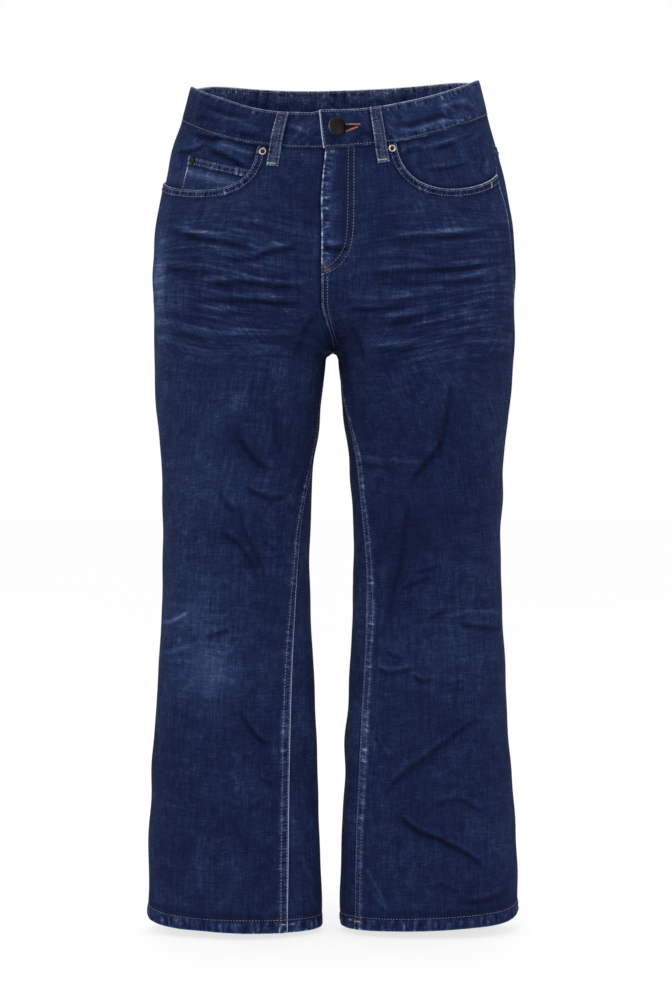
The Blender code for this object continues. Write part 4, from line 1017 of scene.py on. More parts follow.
def back_panel(side, leg):
    first = np.concatenate((-1 + np.array((-0.24, -0.10, -0.03, 0.0, 0.03, 0.06, 0.10, 0.16, 0.24,
                                           0.34)),
                            np.linspace(-0.54, 0.25, 76)))
    downs = leg_shares(first)
    rough = back_place(leg, np.array((1.0,)), downs[:, None])[:, 0, 1]
    inside_leg = step((rough - CROTCH + 0.004) / 0.012)
    after = 0.0003 + 0.0047 * (np.maximum(inside_leg, 1.0) if leg == RIGHT else inside_leg)
    turn, drop, from_out, from_in = spread(back_place, leg, downs, 104, before=0.004, after=after)
    place = body(leg, drop, turn)
    below = step((drop - CROTCH + 0.006) / 0.012)
    lift, tone = creased(leg, drop, turn)
    lift = lift * step((from_out + 0.001) / 0.008) * step((from_in + 0.001) / 0.008)
    at_yoke = drop - yoke_seam(turn)
    lift = lift * step(at_yoke / 0.010)

    lift -= 0.0005 * rim(np.maximum(from_out, 0), 0.0011) + 0.0009 * step(-from_out / 0.0012)
    tone += 0.22 * rim(from_out, 0.0011)
    lift = np.where(at_yoke < 0, lift - 0.0012 * step(-at_yoke / 0.0012), lift)
    # Painted shadow just below the yoke's lapped edge, and beside the front's felled edge down the inside leg.
    tone -= 0.12 * rim(np.maximum(at_yoke, 0), 0.0025)
    tone -= 0.16 * rim(np.maximum(from_in, 0), 0.0022) * below
    tone += 0.045 * rim(from_in, 0.030) * step((drop - 0.42) / 0.1)
    under = step(from_in / -0.0012)
    if leg == LEFT:
        lift += (0.0008 * between(from_in, -1.0, 0.0092) - 0.0006 * rim(from_in, 0.0009)) * (1 - below)
        tone += (0.42 * rim(from_in, 0.0009) + 0.12 * rim(from_in - 0.0090, 0.0011)) * (1 - below)
        lift = np.where(from_in < 0, lift - 0.0006 * under * below, lift)
    else:
        lift = np.where(from_in < 0, lift - 0.0006 * under, lift)
        # Painted shadow beside the left back's lapped edge down the seat.
        tone -= 0.14 * rim(np.maximum(from_in, 0), 0.0025) * (1 - below)
    hem_lift, hem_tone = hem_shape(leg, drop, turn, place)
    lift, tone = lift + hem_lift, tone + hem_tone
    up = hem_drop(leg, turn) - drop
    pucker = 0.7 * step((HEM_DEPTH + 0.0006 - up) / 0.001) + 0.35 * rim(from_out, 0.006)
    pucker += 0.8 * between(from_in, 0.0008, 0.0085) * (1 - below) + 0.4 * rim(at_yoke, 0.005)
    wall = mix(WALL, 0.0022, step((HEM_DEPTH + 0.0016 - up) / 0.001))
    seams = (seam_line(leg, centre_back, YOKE_CENTRE, CROTCH), seam_line(leg, inseam, CROTCH, HEM),
             seam_line(leg, outseam, YOKE_SIDE, HEM), hem_line(leg, 0.0), yoke_line(leg))
    return cloth(f"back_panel_{side}", leg, turn, drop, lift, seams, tone, np.clip(pucker, 0, 1),
                 wall=wall)


back_left = back_panel("left", LEFT)
back_right = back_panel("right", RIGHT)

# ---------------------------------------------------------------------------------------------
# Back yokes: shaped strips of the same twill between the waistband and the back panels, which
# they lap over with a felled seam.
# ---------------------------------------------------------------------------------------------


def yoke_place(leg, across, down):
    high = mix(outseam(leg, 0.045), centre_back(leg, 0.030), across)
    low = mix(outseam(leg, YOKE_SIDE), centre_back(leg, YOKE_CENTRE), across)
    drop = mix(waist_seam(leg, high) - TUCK, yoke_seam(low), down)
    return places(mix(outseam(leg, drop), centre_back(leg, drop), across), drop)


def back_yoke(side, leg):
    downs = np.concatenate((np.linspace(0.0, 0.80, 15),
                            (0.84, 0.87, 0.90, 0.92, 0.94, 0.96, 0.975, 0.99, 1.0)))
    turn, drop, from_out, from_in = spread(yoke_place, leg, downs, 66, before=0.004,
                                           after=0.0003 if leg == LEFT else 0.005)
    place = body(leg, drop, turn)
    lift, tone = creased(leg, drop, turn)
    at_band = drop - waist_seam(leg, turn)
    to_foot, _ = beside(place, yoke_line(leg))
    lift = lift * step(at_band / 0.012) * step(to_foot / 0.008)
    lift *= step((from_out + 0.001) / 0.008) * step((from_in + 0.001) / 0.008)
    lift += 0.0008 * between(to_foot, -1.0, 0.0088) * step(at_band / 0.004) * step(from_out / 0.012)
    lift -= 0.0007 * rim(to_foot, 0.0009)
    tone += 0.42 * rim(to_foot, 0.0010) + 0.10 * rim(to_foot - 0.0088, 0.0011) + 0.22 * rim(from_out, 0.0011)
    lift -= 0.0005 * rim(np.maximum(from_out, 0), 0.0011) + 0.0009 * step(-from_out / 0.0012)
    # Painted shadow just below the waistband.
    tone -= 0.10 * rim(np.maximum(at_band, 0), 0.0030)
    if leg == LEFT:
        lift += (0.0008 * between(from_in, -1.0, 0.0092) - 0.0006 * rim(from_in, 0.0009)) * step(at_band / 0.004)
        tone += 0.42 * rim(from_in, 0.0009) + 0.12 * rim(from_in - 0.0090, 0.0011)
    else:
        lift = np.where(from_in < 0, lift - 0.0010 * step(-from_in / 0.0012), lift)
    pucker = 0.85 * between(to_foot, 0.0008, 0.0085) + (leg == LEFT) * 0.8 * between(from_in, 0.0008, 0.0085)
    seams = (yoke_line(leg), seam_line(leg, centre_back, 0.02, YOKE_CENTRE),
             seam_line(leg, outseam, 0.03, YOKE_SIDE))
    return cloth(f"back_yoke_{side}", leg, turn, drop, lift, seams, tone, np.clip(pucker, 0, 1))


yoke_left = back_yoke("left", LEFT)
yoke_right = back_yoke("right", RIGHT)

# ---------------------------------------------------------------------------------------------
# Hip-pocket facings and the coin pocket: unfaded twill seen inside the mouths, lapped under the
# fronts; the small pocket is a rubbed patch on the right one, hemmed across its top.
# ---------------------------------------------------------------------------------------------
facing_denim = denim("facing_denim", DENIM_STOPS, 0.49, 0.46, crumple=1.4)
worn_denim = denim("rubbed_denim", DENIM_STOPS, 0.53, 0.55, crumple=1.5)
KNEE = 0.60


def recess(leg, turn, drop):
    """The facing is flush at the side seam and sinks under the front panel near the mouth."""
    near = np.maximum(step((turn - 0.70) / 0.30), step((drop - 0.078) / 0.030))
    return (0.0018 + (0.0006 if leg == LEFT else 0.0022) * step((turn - 0.20) / 0.40)) * near


def facing_place(leg, across, down):
    def bottom(share):
        return mouth(leg, np.asarray(share, float) * KNEE, 0.012)

    def inner(share):
        return mouth(leg, mix(1.0, KNEE, np.asarray(share, float)), 0.012)

    def top(share):
        turn = mix(outseam(leg, 0.045), inner(0.0)[0], np.asarray(share, float))
        return places(turn, waist_seam(leg, turn) - TUCK)

    def outer(share):
        drop = mix(top(0.0)[1], bottom(0.0)[1], share)
        return places(outseam(leg, drop), drop)

    return patch(top, bottom, outer, inner, across, down)


def pocket_facing(side, leg):
    downs = np.linspace(0.0, 1.0, 34)
    turn, drop, from_out, from_in = spread(facing_place, leg, downs, 44)
    place = body(leg, drop, turn)
    lift, tone = creased(leg, drop, turn)
    lift = lift * step((from_out + 0.001) / 0.008) - recess(leg, turn, drop) - 0.0005 * rim(from_out, 0.0011)
    to_mouth, _ = beside(place, mouth_line(leg))
    # Painted shadow along the mouth, under the front's edge, and just below the waistband.
    tone = tone * (1.7 if leg == RIGHT else 1.1) + 0.26 * rim(from_out, 0.0012) - 0.24 * rim(to_mouth, 0.0042)
    tone -= 0.10 * rim(np.maximum(drop - waist_seam(leg, turn), 0), 0.0035) - (0.02 if leg == LEFT else 0.05)
    pucker = 0.4 * rim(from_out, 0.006) + 0.3 * rim(drop - waist_seam(leg, turn), 0.008)
    return cloth(f"pocket_facing_{side}", leg, turn, drop, lift,
                 (seam_line(leg, outseam, 0.04, 0.12),), tone,
                 pucker, materials=(facing_denim, reverse))


pocket_facing("left", LEFT)
pocket_facing("right", RIGHT)

COIN = {"outer_top": (0.160, 0.091), "inner_top": (0.088, 0.1125),
        "outer_low": (0.169, 0.126), "inner_low": (0.094, 0.139)}


def coin_place(leg, across, down):
    across, down = np.broadcast_arrays(across, down)
    corner = {key: places(turn_at(drop, x), drop) for key, (x, drop) in COIN.items()}
    high = mix(corner["outer_top"], corner["inner_top"], across[..., None])
    low = mix(corner["outer_low"], corner["inner_low"], across[..., None])
    low[..., 1] += 0.008 * np.sin(math.pi * np.clip(across, 0, 1))
    return mix(high, low, down[..., None])


def coin_edge(start, end, into, count=40):
    """A line across the coin pocket between two (across, down) shares, set down by into."""
    share = np.linspace(0.0, 1.0, count)
    path = coin_place(RIGHT, mix(start[0], end[0], share), mix(start[1], end[1], share))
    return body(RIGHT, path[:, 1] + into, path[:, 0])


downs = np.concatenate(((0.0, 0.014, 0.03, 0.05, 0.075), np.linspace(0.11, 0.40, 12),
                        np.linspace(0.44, 1.0, 12)))
turn, drop, from_out, from_in = spread(coin_place, RIGHT, downs, 28)
place = body(RIGHT, drop, turn)
from_top, _ = beside(place, coin_edge((0.0, 0.0), (1.0, 0.0), 0.0))
lift = 0.0019 - recess(RIGHT, turn, drop) + 0.0004 * between(from_top, -1.0, 0.0090)
lift -= 0.0007 * rim(from_top, 0.0009) + 0.0006 * rim(from_out, 0.0009) + 0.0006 * rim(from_in, 0.0009)
tone = 0.15 * rim(from_top, 0.0012) + 0.34 * rim(from_out, 0.0012) + 0.16 * rim(from_in, 0.0012)
tone += 0.04 * between(from_top, 0.001, 0.009) + 0.22 * rim(from_top - 0.0178, 0.0045)
# Painted shadow just below the turned-down band across the top.
tone -= 0.20 * rim(from_top - 0.0098, 0.0011)
pucker = 0.9 * between(from_top, 0.001, 0.009) + 0.5 * rim(from_out, 0.004)
coin = cloth("coin_pocket", RIGHT, turn, drop, lift,
             (coin_edge((0, 0), (1, 0), 0.0), coin_edge((0, 0), (0, 1), 0.0)),
             tone, np.clip(pucker, 0, 1), materials=(worn_denim, reverse))

# ---------------------------------------------------------------------------------------------
# Back pockets: plain patches of the same twill on the seat, their tops hemmed and their feet
# brought to a blunt point.
# ---------------------------------------------------------------------------------------------


def pocket_place(leg, across, down):
    across, down = np.broadcast_arrays(across, down)
    width = mix(0.140, 0.122, down)
    x = 0.088 + 0.004 * down + width * (0.5 - across)
    drop = 0.128 + 0.010 * across + 0.135 * down + 0.018 * down * (1 - np.abs(2 * across - 1))
    return places(turn_at(drop, x, front=False), drop)


def pocket_edge(leg, inset, top=0.0, count=90):
    """Down one side of the pocket, round its foot and up the other, this far in from the edge."""
    a, b = inset / 0.132, 1 - inset / 0.145
    corners = ((a, top), (a, b), (0.5, b), (1 - a, b), (1 - a, top))
    path = np.concatenate([mix(np.array((p,)), np.array((q,)),
                               np.linspace(0, 1, count // 4)[:, None])
                           for p, q in zip(corners, corners[1:])])
    path = pocket_place(leg, path[:, 0], path[:, 1])
    return body(leg, path[:, 1], path[:, 0])


def pocket_hem(leg, down):
    path = pocket_place(leg, np.linspace(0.02, 0.98, 40), np.full(40, down))
    return body(leg, path[:, 1], path[:, 0])


def back_pocket(side, leg):
    downs = np.concatenate(((0.0, 0.0035, 0.007, 0.012, 0.020, 0.035, 0.055, 0.08, 0.105, 0.13),
                            np.linspace(0.15, 0.90, 34), (0.93, 0.95, 0.965, 0.978, 0.988, 0.993, 0.9965, 1.0)))
    turn, drop, from_out, from_in = spread(pocket_place, leg, downs, 44)
    place = body(leg, drop, turn)
    lift, tone = creased(leg, drop, turn)
    edge, _ = beside(place, pocket_edge(leg, 0.0))
    from_top, _ = beside(place, pocket_hem(leg, 0.0))
    lift = lift + 0.0021 + 0.0004 * between(from_top, -1.0, 0.016) - 0.0008 * rim(edge, 0.0010)
    lift -= 0.0007 * rim(from_top, 0.0009) + 0.0004 * rim(edge - 0.0100, 0.0030)
    tone += 0.42 * rim(edge, 0.0011) + 0.42 * rim(from_top, 0.0011) + 0.07 * between(from_top, 0.002, 0.015)
    tone += 0.10 * rim(edge - 0.0105, 0.0018)
    pucker = 0.85 * between(edge, 0.001, 0.0095) + 0.8 * between(from_top, 0.001, 0.016)
    return cloth(f"back_pocket_{side}", leg, turn, drop, lift,
                 (pocket_edge(leg, 0.0), pocket_hem(leg, 0.0)), tone,
                 np.clip(pucker, 0, 1), wall=0.0022)


pocket_left = back_pocket("left", LEFT)
pocket_right = back_pocket("right", RIGHT)

# ---------------------------------------------------------------------------------------------
# Waistband: one folded strip of the twill, right side out on both faces, with its ends lapped at
# the front, the wearer's left end on top.
# ---------------------------------------------------------------------------------------------
band_denim = denim("waistband_denim", DENIM_STOPS, 0.490, 0.50, crumple=1.3)
band_inside = denim("waistband_inside_denim", DENIM_STOPS, 0.550, 0.62, crumple=1.6)
BAND_MIDDLE = 0.070
BAND_LAST = float(turn_at(BAND_MIDDLE, 0.0240)) - 2 * math.pi


# name: place across at the foot, on the front or not, lean of the top, top under the edge, length
LOOPS = {
    "belt_loop_front_right": (-0.0640, True, 0.0060, 0.0018, 0.0581),
    "belt_loop_front_left": (0.0505, True, -0.0060, 0.0002, 0.0614),
    "belt_loop_back_right": (-0.0900, False, 0.0, 0.0005, 0.0580),
    "belt_loop_back_left": (0.0900, False, 0.0, 0.0005, 0.0580),
    "belt_loop_centre_back": (0.0040, False, 0.0, 0.0005, 0.0580),
}


def loop_place(name, across, down):
    x, front, lean, top, length = LOOPS[name]
    x = x + lean * (1 - down) + 0.012 * (across - 0.5)
    turn = turn_at(0.070 if front else 0.020, x, front)
    return places(turn, waist_edge(LEFT, turn) + top + length * down)


# Wrinkles pressed into the waistband at the front, as on the fronts
BAND_CREASES = (
    (0.0030, 0.0008, -0.16, ((-0.150, 0.030), (-0.120, 0.047), (-0.088, 0.055))),
    (0.0030, -0.0006, 0.14, ((-0.146, 0.036), (-0.118, 0.052), (-0.090, 0.061))),
    (0.0026, 0.0007, -0.15, ((-0.118, 0.066), (-0.096, 0.074), (-0.076, 0.073))),
    (0.0024, -0.0005, 0.12, ((-0.104, 0.058), (-0.086, 0.067), (-0.074, 0.066))),
    (0.0026, 0.0007, -0.15, ((-0.158, 0.046), (-0.136, 0.052), (-0.124, 0.062))),
    (0.0026, 0.0007, -0.14, ((-0.056, 0.070), (-0.040, 0.073), (-0.022, 0.080))),
    (0.0024, -0.0005, 0.13, ((-0.054, 0.064), (-0.040, 0.067), (-0.024, 0.073))),
    (0.0026, 0.0007, -0.14, ((0.024, 0.078), (0.034, 0.074), (0.044, 0.077))),
    (0.0030, 0.0008, -0.17, ((0.062, 0.066), (0.086, 0.062), (0.110, 0.053), (0.140, 0.046))),
    (0.0026, -0.0006, 0.15, ((0.064, 0.072), (0.090, 0.068), (0.116, 0.058), (0.144, 0.052))),
    (0.0026, 0.0007, -0.14, ((0.092, 0.078), (0.118, 0.070), (0.150, 0.056))),
    (0.0026, -0.0006, 0.14, ((0.110, 0.042), (0.134, 0.034), (0.154, 0.027))),
    (0.0024, 0.0006, -0.13, ((0.120, 0.039), (0.140, 0.038), (0.160, 0.040))),
)


def band_lift(turn):
    """How far the waistband stands off the body: its upper end out, its under end in."""
    upper = step(1 - (math.pi / 2 - turn) / 0.45)
    under = step(1 - (turn + 1.5 * math.pi) / 0.45)
    return 0.0006 + 0.0034 * (0.55 * upper - 0.45 * under)


def band_end(down):
    """How far across the upper end lies; it leans, its foot nearer the middle than its top."""
    return mix(-0.0183, -0.0118, down)


def band_place(leg, across, down):
    turn = mix(turn_at(BAND_MIDDLE, band_end(down)), BAND_LAST, across)
    return places(turn, mix(waist_edge(LEFT, turn), waist_seam(LEFT, turn), down))


def above(leg, drop, turn, height=0.004):
    """A place just clear of everything that lies on the body here."""
    return body(leg, drop, turn) + outward(leg, drop, turn) * height


def band_line(down, first=0.002, last=0.998, count=400, height=0.0):
    path = band_place(LEFT, np.linspace(first, last, count), down)
    return above(LEFT, path[:, 1], path[:, 0], height)


downs = np.concatenate(((0.0, 0.012, 0.028, 0.048, 0.075, 0.11), np.linspace(0.16, 0.84, 13),
                        (0.89, 0.925, 0.952, 0.972, 0.988, 1.0)))
turn, drop, from_out, from_in = spread(band_place, LEFT, downs, 330, before=0.0, after=0.0)
place = body(LEFT, drop, turn)
from_top, from_foot = drop - waist_edge(LEFT, turn), waist_seam(LEFT, turn) - drop
lift, tone = creased(LEFT, drop, turn)
ripple = roping(turn * 0.13, 31)
lift = lift * 0.35 + band_lift(turn) + 0.00022 * ripple * step(from_top / 0.01) * step(from_foot / 0.01)
for edge in (from_top, from_foot, from_out, from_in):
    lift = lift - 0.0008 * rim(edge, 0.0010)
lift -= 0.0003 * (rim(from_top - 0.0030, 0.0012) + rim(from_foot - 0.0030, 0.0012))
tone = tone * 0.6 + 0.44 * rim(from_top, 0.0011) + (0.19 + 0.08 * ripple) * rim(from_foot, 0.0011) + 0.70 * rim(from_out, 0.0014)
tone += 0.09 * step((place[..., 0] - 0.02) / 0.04) * (np.sin(turn) > 0) + 0.03 * ripple
tone += 0.15 * rim(from_top - 0.0050, 0.0080) * step(-np.sin(turn) / 0.3)
tone -= 0.05 * between(from_foot, 0.0020, 0.0090)
# Darker in each wrinkle's fold from unfaded dye and painted shade, lighter on its rubbed ridge.
for width, depth, shade, run in BAND_CREASES:
    away, along = beside(place[..., ::2] * (1, -1), smoothed(run, 14))
    length = along.max()
    crease = rim(away, width) * step(along / length / 0.3) * step((1 - along / length) / 0.3) * (np.sin(turn) > 0)
    lift, tone = lift - 1.5 * depth * crease, tone + 1.35 * shade * crease
# Painted shadow on the band along both edges of each belt loop.
for name in LOOPS:
    for side in (0.0, 1.0):
        path = loop_place(name, side, np.linspace(0.0, 0.7, 8))
        away, _ = beside(place, body(LEFT, path[:, 1], path[:, 0]))
        tone -= 0.20 * rim(away, 0.0022)
# Painted shade in the buttonhole's slit.
away, _ = beside(place[..., ::2] * (1, -1), np.array(((0.0150, 0.0676), (0.0240, 0.0652))))
tone -= 0.45 * rim(away, 0.0013) * (np.sin(turn) > 0)
pucker = 0.60 * (between(from_top, 0.001, 0.007) + between(from_foot, 0.001, 0.008))
band = cloth("waistband", LEFT, turn, drop, lift, (band_line(0.0), band_line(1.0)), tone,
             np.clip(pucker, 0, 1),
             materials=(band_denim, band_inside),
             wall=mix(0.0030, 0.0014, rim(np.minimum(from_top, from_foot), 0.0010)))

# ---------------------------------------------------------------------------------------------
# Belt loops: narrow straps of the twill folded in three, bowed a little off the band, rubbed
# pale along their edges and tacked down at both ends.
# ---------------------------------------------------------------------------------------------
LOOP_STOPS = ((0.00, "06070f"), (0.30, "10142a"), (0.50, "22283e"), (0.70, "424a63"),
              (0.86, "6a708a"), (1.00, "a0a4b4"))
loop_denim = denim("belt_loop_denim", LOOP_STOPS, 0.548, 0.75, crumple=0.6)
loop_pieces = []


def loop_lift(turn, drop, down, over_seam):
    past = step((drop - waist_seam(LEFT, turn) + 0.0035) / 0.008)
    bow = 0.0014 * np.sin(math.pi * np.minimum(down / 0.8, 1.0))
    return band_lift(turn) * (1 - past) + 0.0005 + bow + over_seam * past


for name in LOOPS:
    across = np.concatenate(((0.0, 0.035, 0.08, 0.14), np.linspace(0.22, 0.78, 8),
                             (0.86, 0.92, 0.965, 1.0)))
    down = np.concatenate(((0.0, 0.008, 0.02, 0.035), np.linspace(0.06, 0.94, 30),
                           (0.965, 0.98, 0.992, 1.0)))
    path = loop_place(name, across[None, :], down[:, None])
    side = 0.012 * np.minimum(across, 1 - across)[None, :] + 0 * down[:, None]
    end = 0.058 * np.minimum(down, 1 - down)[:, None] + 0 * across[None, :]
    over_seam = 0.0010 if name == "belt_loop_centre_back" else 0.0
    lift = loop_lift(path[..., 0], path[..., 1], down[:, None], over_seam) + 0.0018 - 0.0006 * rim(side, 0.0010) - 0.0006 * rim(end, 0.0012)
    lift -= 0.0006 * (rim(down - 0.035, 0.022) + rim(down - 0.968, 0.022))[:, None]
    lift += 0.00025 * rim(side - 0.0060, 0.0016)
    tone = 0.25 * rim(side, 0.0012) + 0.20 * rim(end, 0.0012) - 0.10 * rim(side - 0.0026, 0.0010)
    pucker = 0.35 * np.ones_like(tone)
    seams = (body(LEFT, path[:, 0, 1], path[:, 0, 0]), body(LEFT, path[:, -1, 1], path[:, -1, 0]))
    loop_pieces.append(cloth(name, LEFT, path[..., 0], path[..., 1], lift, seams, tone, pucker,
                             materials=(loop_denim, loop_denim), wall=0.0018))

# ---------------------------------------------------------------------------------------------
# Topstitching: spun thread dulled to rust brown, in lockstitch rows along every felled seam,
# pocket, band edge and hem.  Each stitch is a short grain pressed a little into the cloth.
# ---------------------------------------------------------------------------------------------


def thread_material(name, dark, light):
    material = bpy.data.materials.new(name)
    material.use_nodes = True
    tree = material.node_tree
    shader = tree.nodes["Principled BSDF"]
    spot = node(tree, "TexCoord", output="Object")
    worn = noise(tree, scaled(tree, spot, 0.012, 0.012), 2.0, 0.6)
    ply = noise(tree, scaled(tree, spot, 0.0009, 0.0009), 1.0, 0.5, 2.0)
    colour = ramp(tree, maths(tree, "ADD", maths(tree, "MULTIPLY", worn, 0.7), maths(tree, "MULTIPLY", ply, 0.3)),
                  ((0.30, dark), (0.62, light)))
    tree.links.new(colour, shader.inputs["Base Color"])
    bump = node(tree, "Bump", {}, {"Height": ply, "Strength": 0.4, "Distance": 0.0003})
    tree.links.new(bump, shader.inputs["Normal"])
    shader.inputs["Roughness"].default_value = 0.80
    shader.inputs["Specular IOR Level"].default_value = 0.2
    shader.inputs["Sheen Weight"].default_value = 0.1
    return material


rust_thread = thread_material("rust_brown_thread", "37343f", "706c74")
bright_thread = thread_material("unfaded_rust_thread", "7a4434", "b8785c")
brown_thread = thread_material("brown_thread", "4c362e", "86604e")
pale_thread = thread_material("undyed_thread", "77736f", "bcb6ac")
dull_thread = thread_material("indigo_stained_thread", "444254", "767488")


def surface_of(*pieces, side=0):
    """The outer (0) or inner (1) faces of finished cloth, for things to be laid on."""
    verts, faces, start = [], [], 0
    for piece in pieces:
        mesh = piece.data
        co = np.empty(len(mesh.vertices) * 3)
        mesh.vertices.foreach_get("co", co)
        verts.extend(co.reshape(-1, 3).tolist())
        faces.extend([[corner + start for corner in face.vertices] for face in mesh.polygons
                      if face.material_index == side])
        start += len(mesh.vertices)
    return BVHTree.FromPolygons(verts, faces)


def topstitch(name, cloth_pieces, lines, material, pitch=0.0034, length=0.0027, width=0.0009,
              height=0.00055,
              side=0):
    """Rows of stitches along lines near the surface, each laid down on the nearest cloth."""
    surface = surface_of(*cloth_pieces, side=side)
    work = bmesh.new()
    for line in lines:
        steps = np.linalg.norm(np.diff(line, axis=0), axis=1)
        passed = np.concatenate(((0.0,), np.cumsum(steps)))
        count = max(int(passed[-1] / pitch), 1)
        marks = (np.arange(count) + 0.5) * passed[-1] / count
        for mark in marks:
            start, middle, end = (Vector([np.interp(mark + d, passed, line[:, axis]) for axis in range(3)])
                                  for d in (-pitch / 3, 0.0, pitch / 3))
            spot, up, _, _ = surface.find_nearest(middle)
            run = end - start
            run = (run - up * run.dot(up)).normalized()
            matrix = Matrix((run, up.cross(run), up)).transposed().to_4x4()
            matrix = Matrix.Translation(spot + up * height * 0.15) @ matrix
            matrix = matrix @ Matrix.Diagonal((length, width, height, 1.0))
            bmesh.ops.create_icosphere(work, subdivisions=1, radius=0.5, matrix=matrix)
    mesh = bpy.data.meshes.new(name)
    work.to_mesh(mesh)
    work.free()
    mesh.shade_smooth()
    mesh.materials.append(material)
    piece = bpy.data.objects.new(name, mesh)
    bpy.context.scene.collection.objects.link(piece)
    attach(piece, "root")
    return piece


def inset_seam(leg, turn_of, start, end, into, count=140):
    """A line beside a seam down the leg, this far into the panel that lies before the seam."""
    drop = np.linspace(start, end, count)
    turn = turn_of(leg, drop)
    across = np.linalg.norm(body(leg, drop, turn) - body(leg, drop, turn - 0.01), axis=1) / 0.01
    return body(leg, drop, turn - into / across)


def fly_rows(inset):
    outline = smoothed(FLY_PLACES, 60)
    run = np.gradient(outline, axis=0)
    aside = np.stack((run[:, 1], -run[:, 0]), -1) / np.linalg.norm(run, axis=1, keepdims=True)
    path = outline - aside * inset
    path = path[path[:, 1] > 0.0880]
    turn = turn_at(path[:, 1], path[:, 0])
    return body(LEFT, path[:, 1], turn)


front_rows = [mouth_line(leg, inset) for leg in (LEFT, RIGHT) for inset in (0.0024, 0.0076)]
front_rows += [fly_rows(0.0), fly_rows(0.0063)]
front_rows += [inset_seam(LEFT, centre_front, 0.228, CROTCH - 0.006, inset) for inset in (0.0018, 0.0062)]
topstitch("topstitch_fronts", (front_left, front_right), front_rows, rust_thread)
inseam_rows = [inset_seam(leg, inseam, CROTCH + 0.008, HEM - 0.004, inset) for leg in (LEFT, RIGHT) for inset in (0.0020, 0.0084)]
topstitch("topstitch_inside_legs", (front_left, front_right), inseam_rows, dull_thread)
hem_rows = [hem_line(leg, HEM_DEPTH) for leg in (LEFT, RIGHT)]
topstitch("topstitch_hems", (front_left, front_right, back_left, back_right), hem_rows, rust_thread)
hem_crossings = [hem_line(leg, HEM_DEPTH, inseam(leg, HEM) - 0.15, inseam(leg, HEM) + 0.03, 8) for leg in (LEFT, RIGHT)]
topstitch("topstitch_hem_crossings", (front_left, front_right), hem_crossings, bright_thread,
          height=0.0009)

seat_rows = []
for inset in (0.0020, 0.0074):
    drop = np.linspace(waist_seam(LEFT, -math.pi / 2) + 0.001, CROTCH - 0.004, 120)
    seat_rows.append(body(LEFT, drop, turn_at(drop, inset, front=False)))
yoke_rows = [yoke_line(leg, inset) for leg in (LEFT, RIGHT) for inset in (0.0020, 0.0074)]
topstitch("topstitch_seat", (back_left, yoke_left, yoke_right), seat_rows + yoke_rows, rust_thread)
pocket_rows = [row for leg in (LEFT, RIGHT) for row in (
    pocket_edge(leg, 0.0022), pocket_edge(leg, 0.0082), pocket_hem(leg, 0.016),
    pocket_hem(leg, 0.108))]
topstitch("topstitch_back_pockets", (pocket_left, pocket_right), pocket_rows, rust_thread)
topstitch("topstitch_coin_pocket", (coin,),
          [coin_edge((0.02, 0), (0.98, 0), 0.0022), coin_edge((0.02, 0), (0.98, 0), 0.0072),
           coin_edge((0.028, 0.04), (0.028, 0.98), 0.0)], rust_thread)
end_drop = np.linspace(0.053, 0.086, 20)
band_rows = [band_line(0.060, last=0.90, height=0.004), band_line(0.940, last=0.90, height=0.004),
             band_line(0.060, 0.90, height=-0.001), band_line(0.940, 0.90, height=-0.001),
             above(LEFT, end_drop, turn_at(end_drop, band_end((end_drop - 0.050) / 0.040) + 0.0022))]
topstitch("topstitch_waistband", (band,), band_rows, rust_thread)
inner_rows = [band_line(0.070, 0.24, 0.76, height=-0.004),
              band_line(0.900, 0.24, 0.76, height=-0.004)]
topstitch("topstitch_waistband_inside", (band,), inner_rows, brown_thread, side=1)

# ---------------------------------------------------------------------------------------------
# Bar tacks and buttonhole: close rows of the same thread, worked across the loops' ends, the
# pocket corners and the foot of the fly, and round the slit that the button passes through.
# ---------------------------------------------------------------------------------------------


def tack(x, drop, end_x, end_drop, width, front=True):
    """A zigzag of thread from one place to another, as lines that topstitch can follow."""
    start, end = np.array((x, drop)), np.array((end_x, end_drop))
    run = end - start
    length = np.linalg.norm(run)
    aside = np.array((-run[1], run[0])) / length * width / 2
    count = max(int(length / 0.0009), 2)
    lines = []
    for i in range(count):
        middle = start + run * (i + 0.5) / count
        lean = run / count * 0.35
        ends = np.array((middle - aside - lean, middle + aside + lean))
        lines.append(above(LEFT, ends[:, 1], turn_at(ends[:, 1], ends[:, 0], front)))
    return lines


def loop_tack(name, down):
    path = loop_place(name, np.array((0.06, 0.94)), np.full(2, down))
    x = body(LEFT, path[:, 1], path[:, 0])[:, 0] - 0.0024
    return tack(x[0], path[0, 1], x[1], path[1, 1], 0.0020, LOOPS[name][1])


for name_of, downs, material in (("top", 0.035, rust_thread), ("foot", 0.968, pale_thread)):
    lines = [line for name in LOOPS for line in loop_tack(name, downs)]
    topstitch(f"bar_tacks_loops_{name_of}", loop_pieces, lines, material, 0.0021, 0.0022, 0.0006,
              0.0006)
fly_tacks = tack(-0.0098, 0.2120, -0.0098, 0.2200, 0.0030) + tack(-0.0100, 0.2235, -0.0030, 0.2215, 0.0024)
topstitch("bar_tacks_fly", (front_left,), fly_tacks, brown_thread, 0.0026, 0.0026, 0.0006, 0.0006)
mouth_tack = tack(0.1725, 0.1195, 0.1725, 0.1270, 0.0016)
topstitch("bar_tack_mouth", (front_left,), mouth_tack, pale_thread, 0.0021, 0.0022, 0.0006, 0.0006)
buttonhole = tack(0.0106, 0.0650, 0.0273, 0.0646, 0.0026) + tack(0.0121, 0.0728, 0.0248, 0.0674, 0.0024)
topstitch("buttonhole", (band,), buttonhole, bright_thread, 0.0026, 0.0026, 0.0007, 0.0008)

# ---------------------------------------------------------------------------------------------
# Waist button and rivets: turned metal.  The button is a blackened bronze cap with a rolled rim,
# its face painted lighter and its rim given a painted highlight on the wearer's right; the front
# rivets are pale burrs round a dark hollow, the coin pocket's is blackened too.
# ---------------------------------------------------------------------------------------------


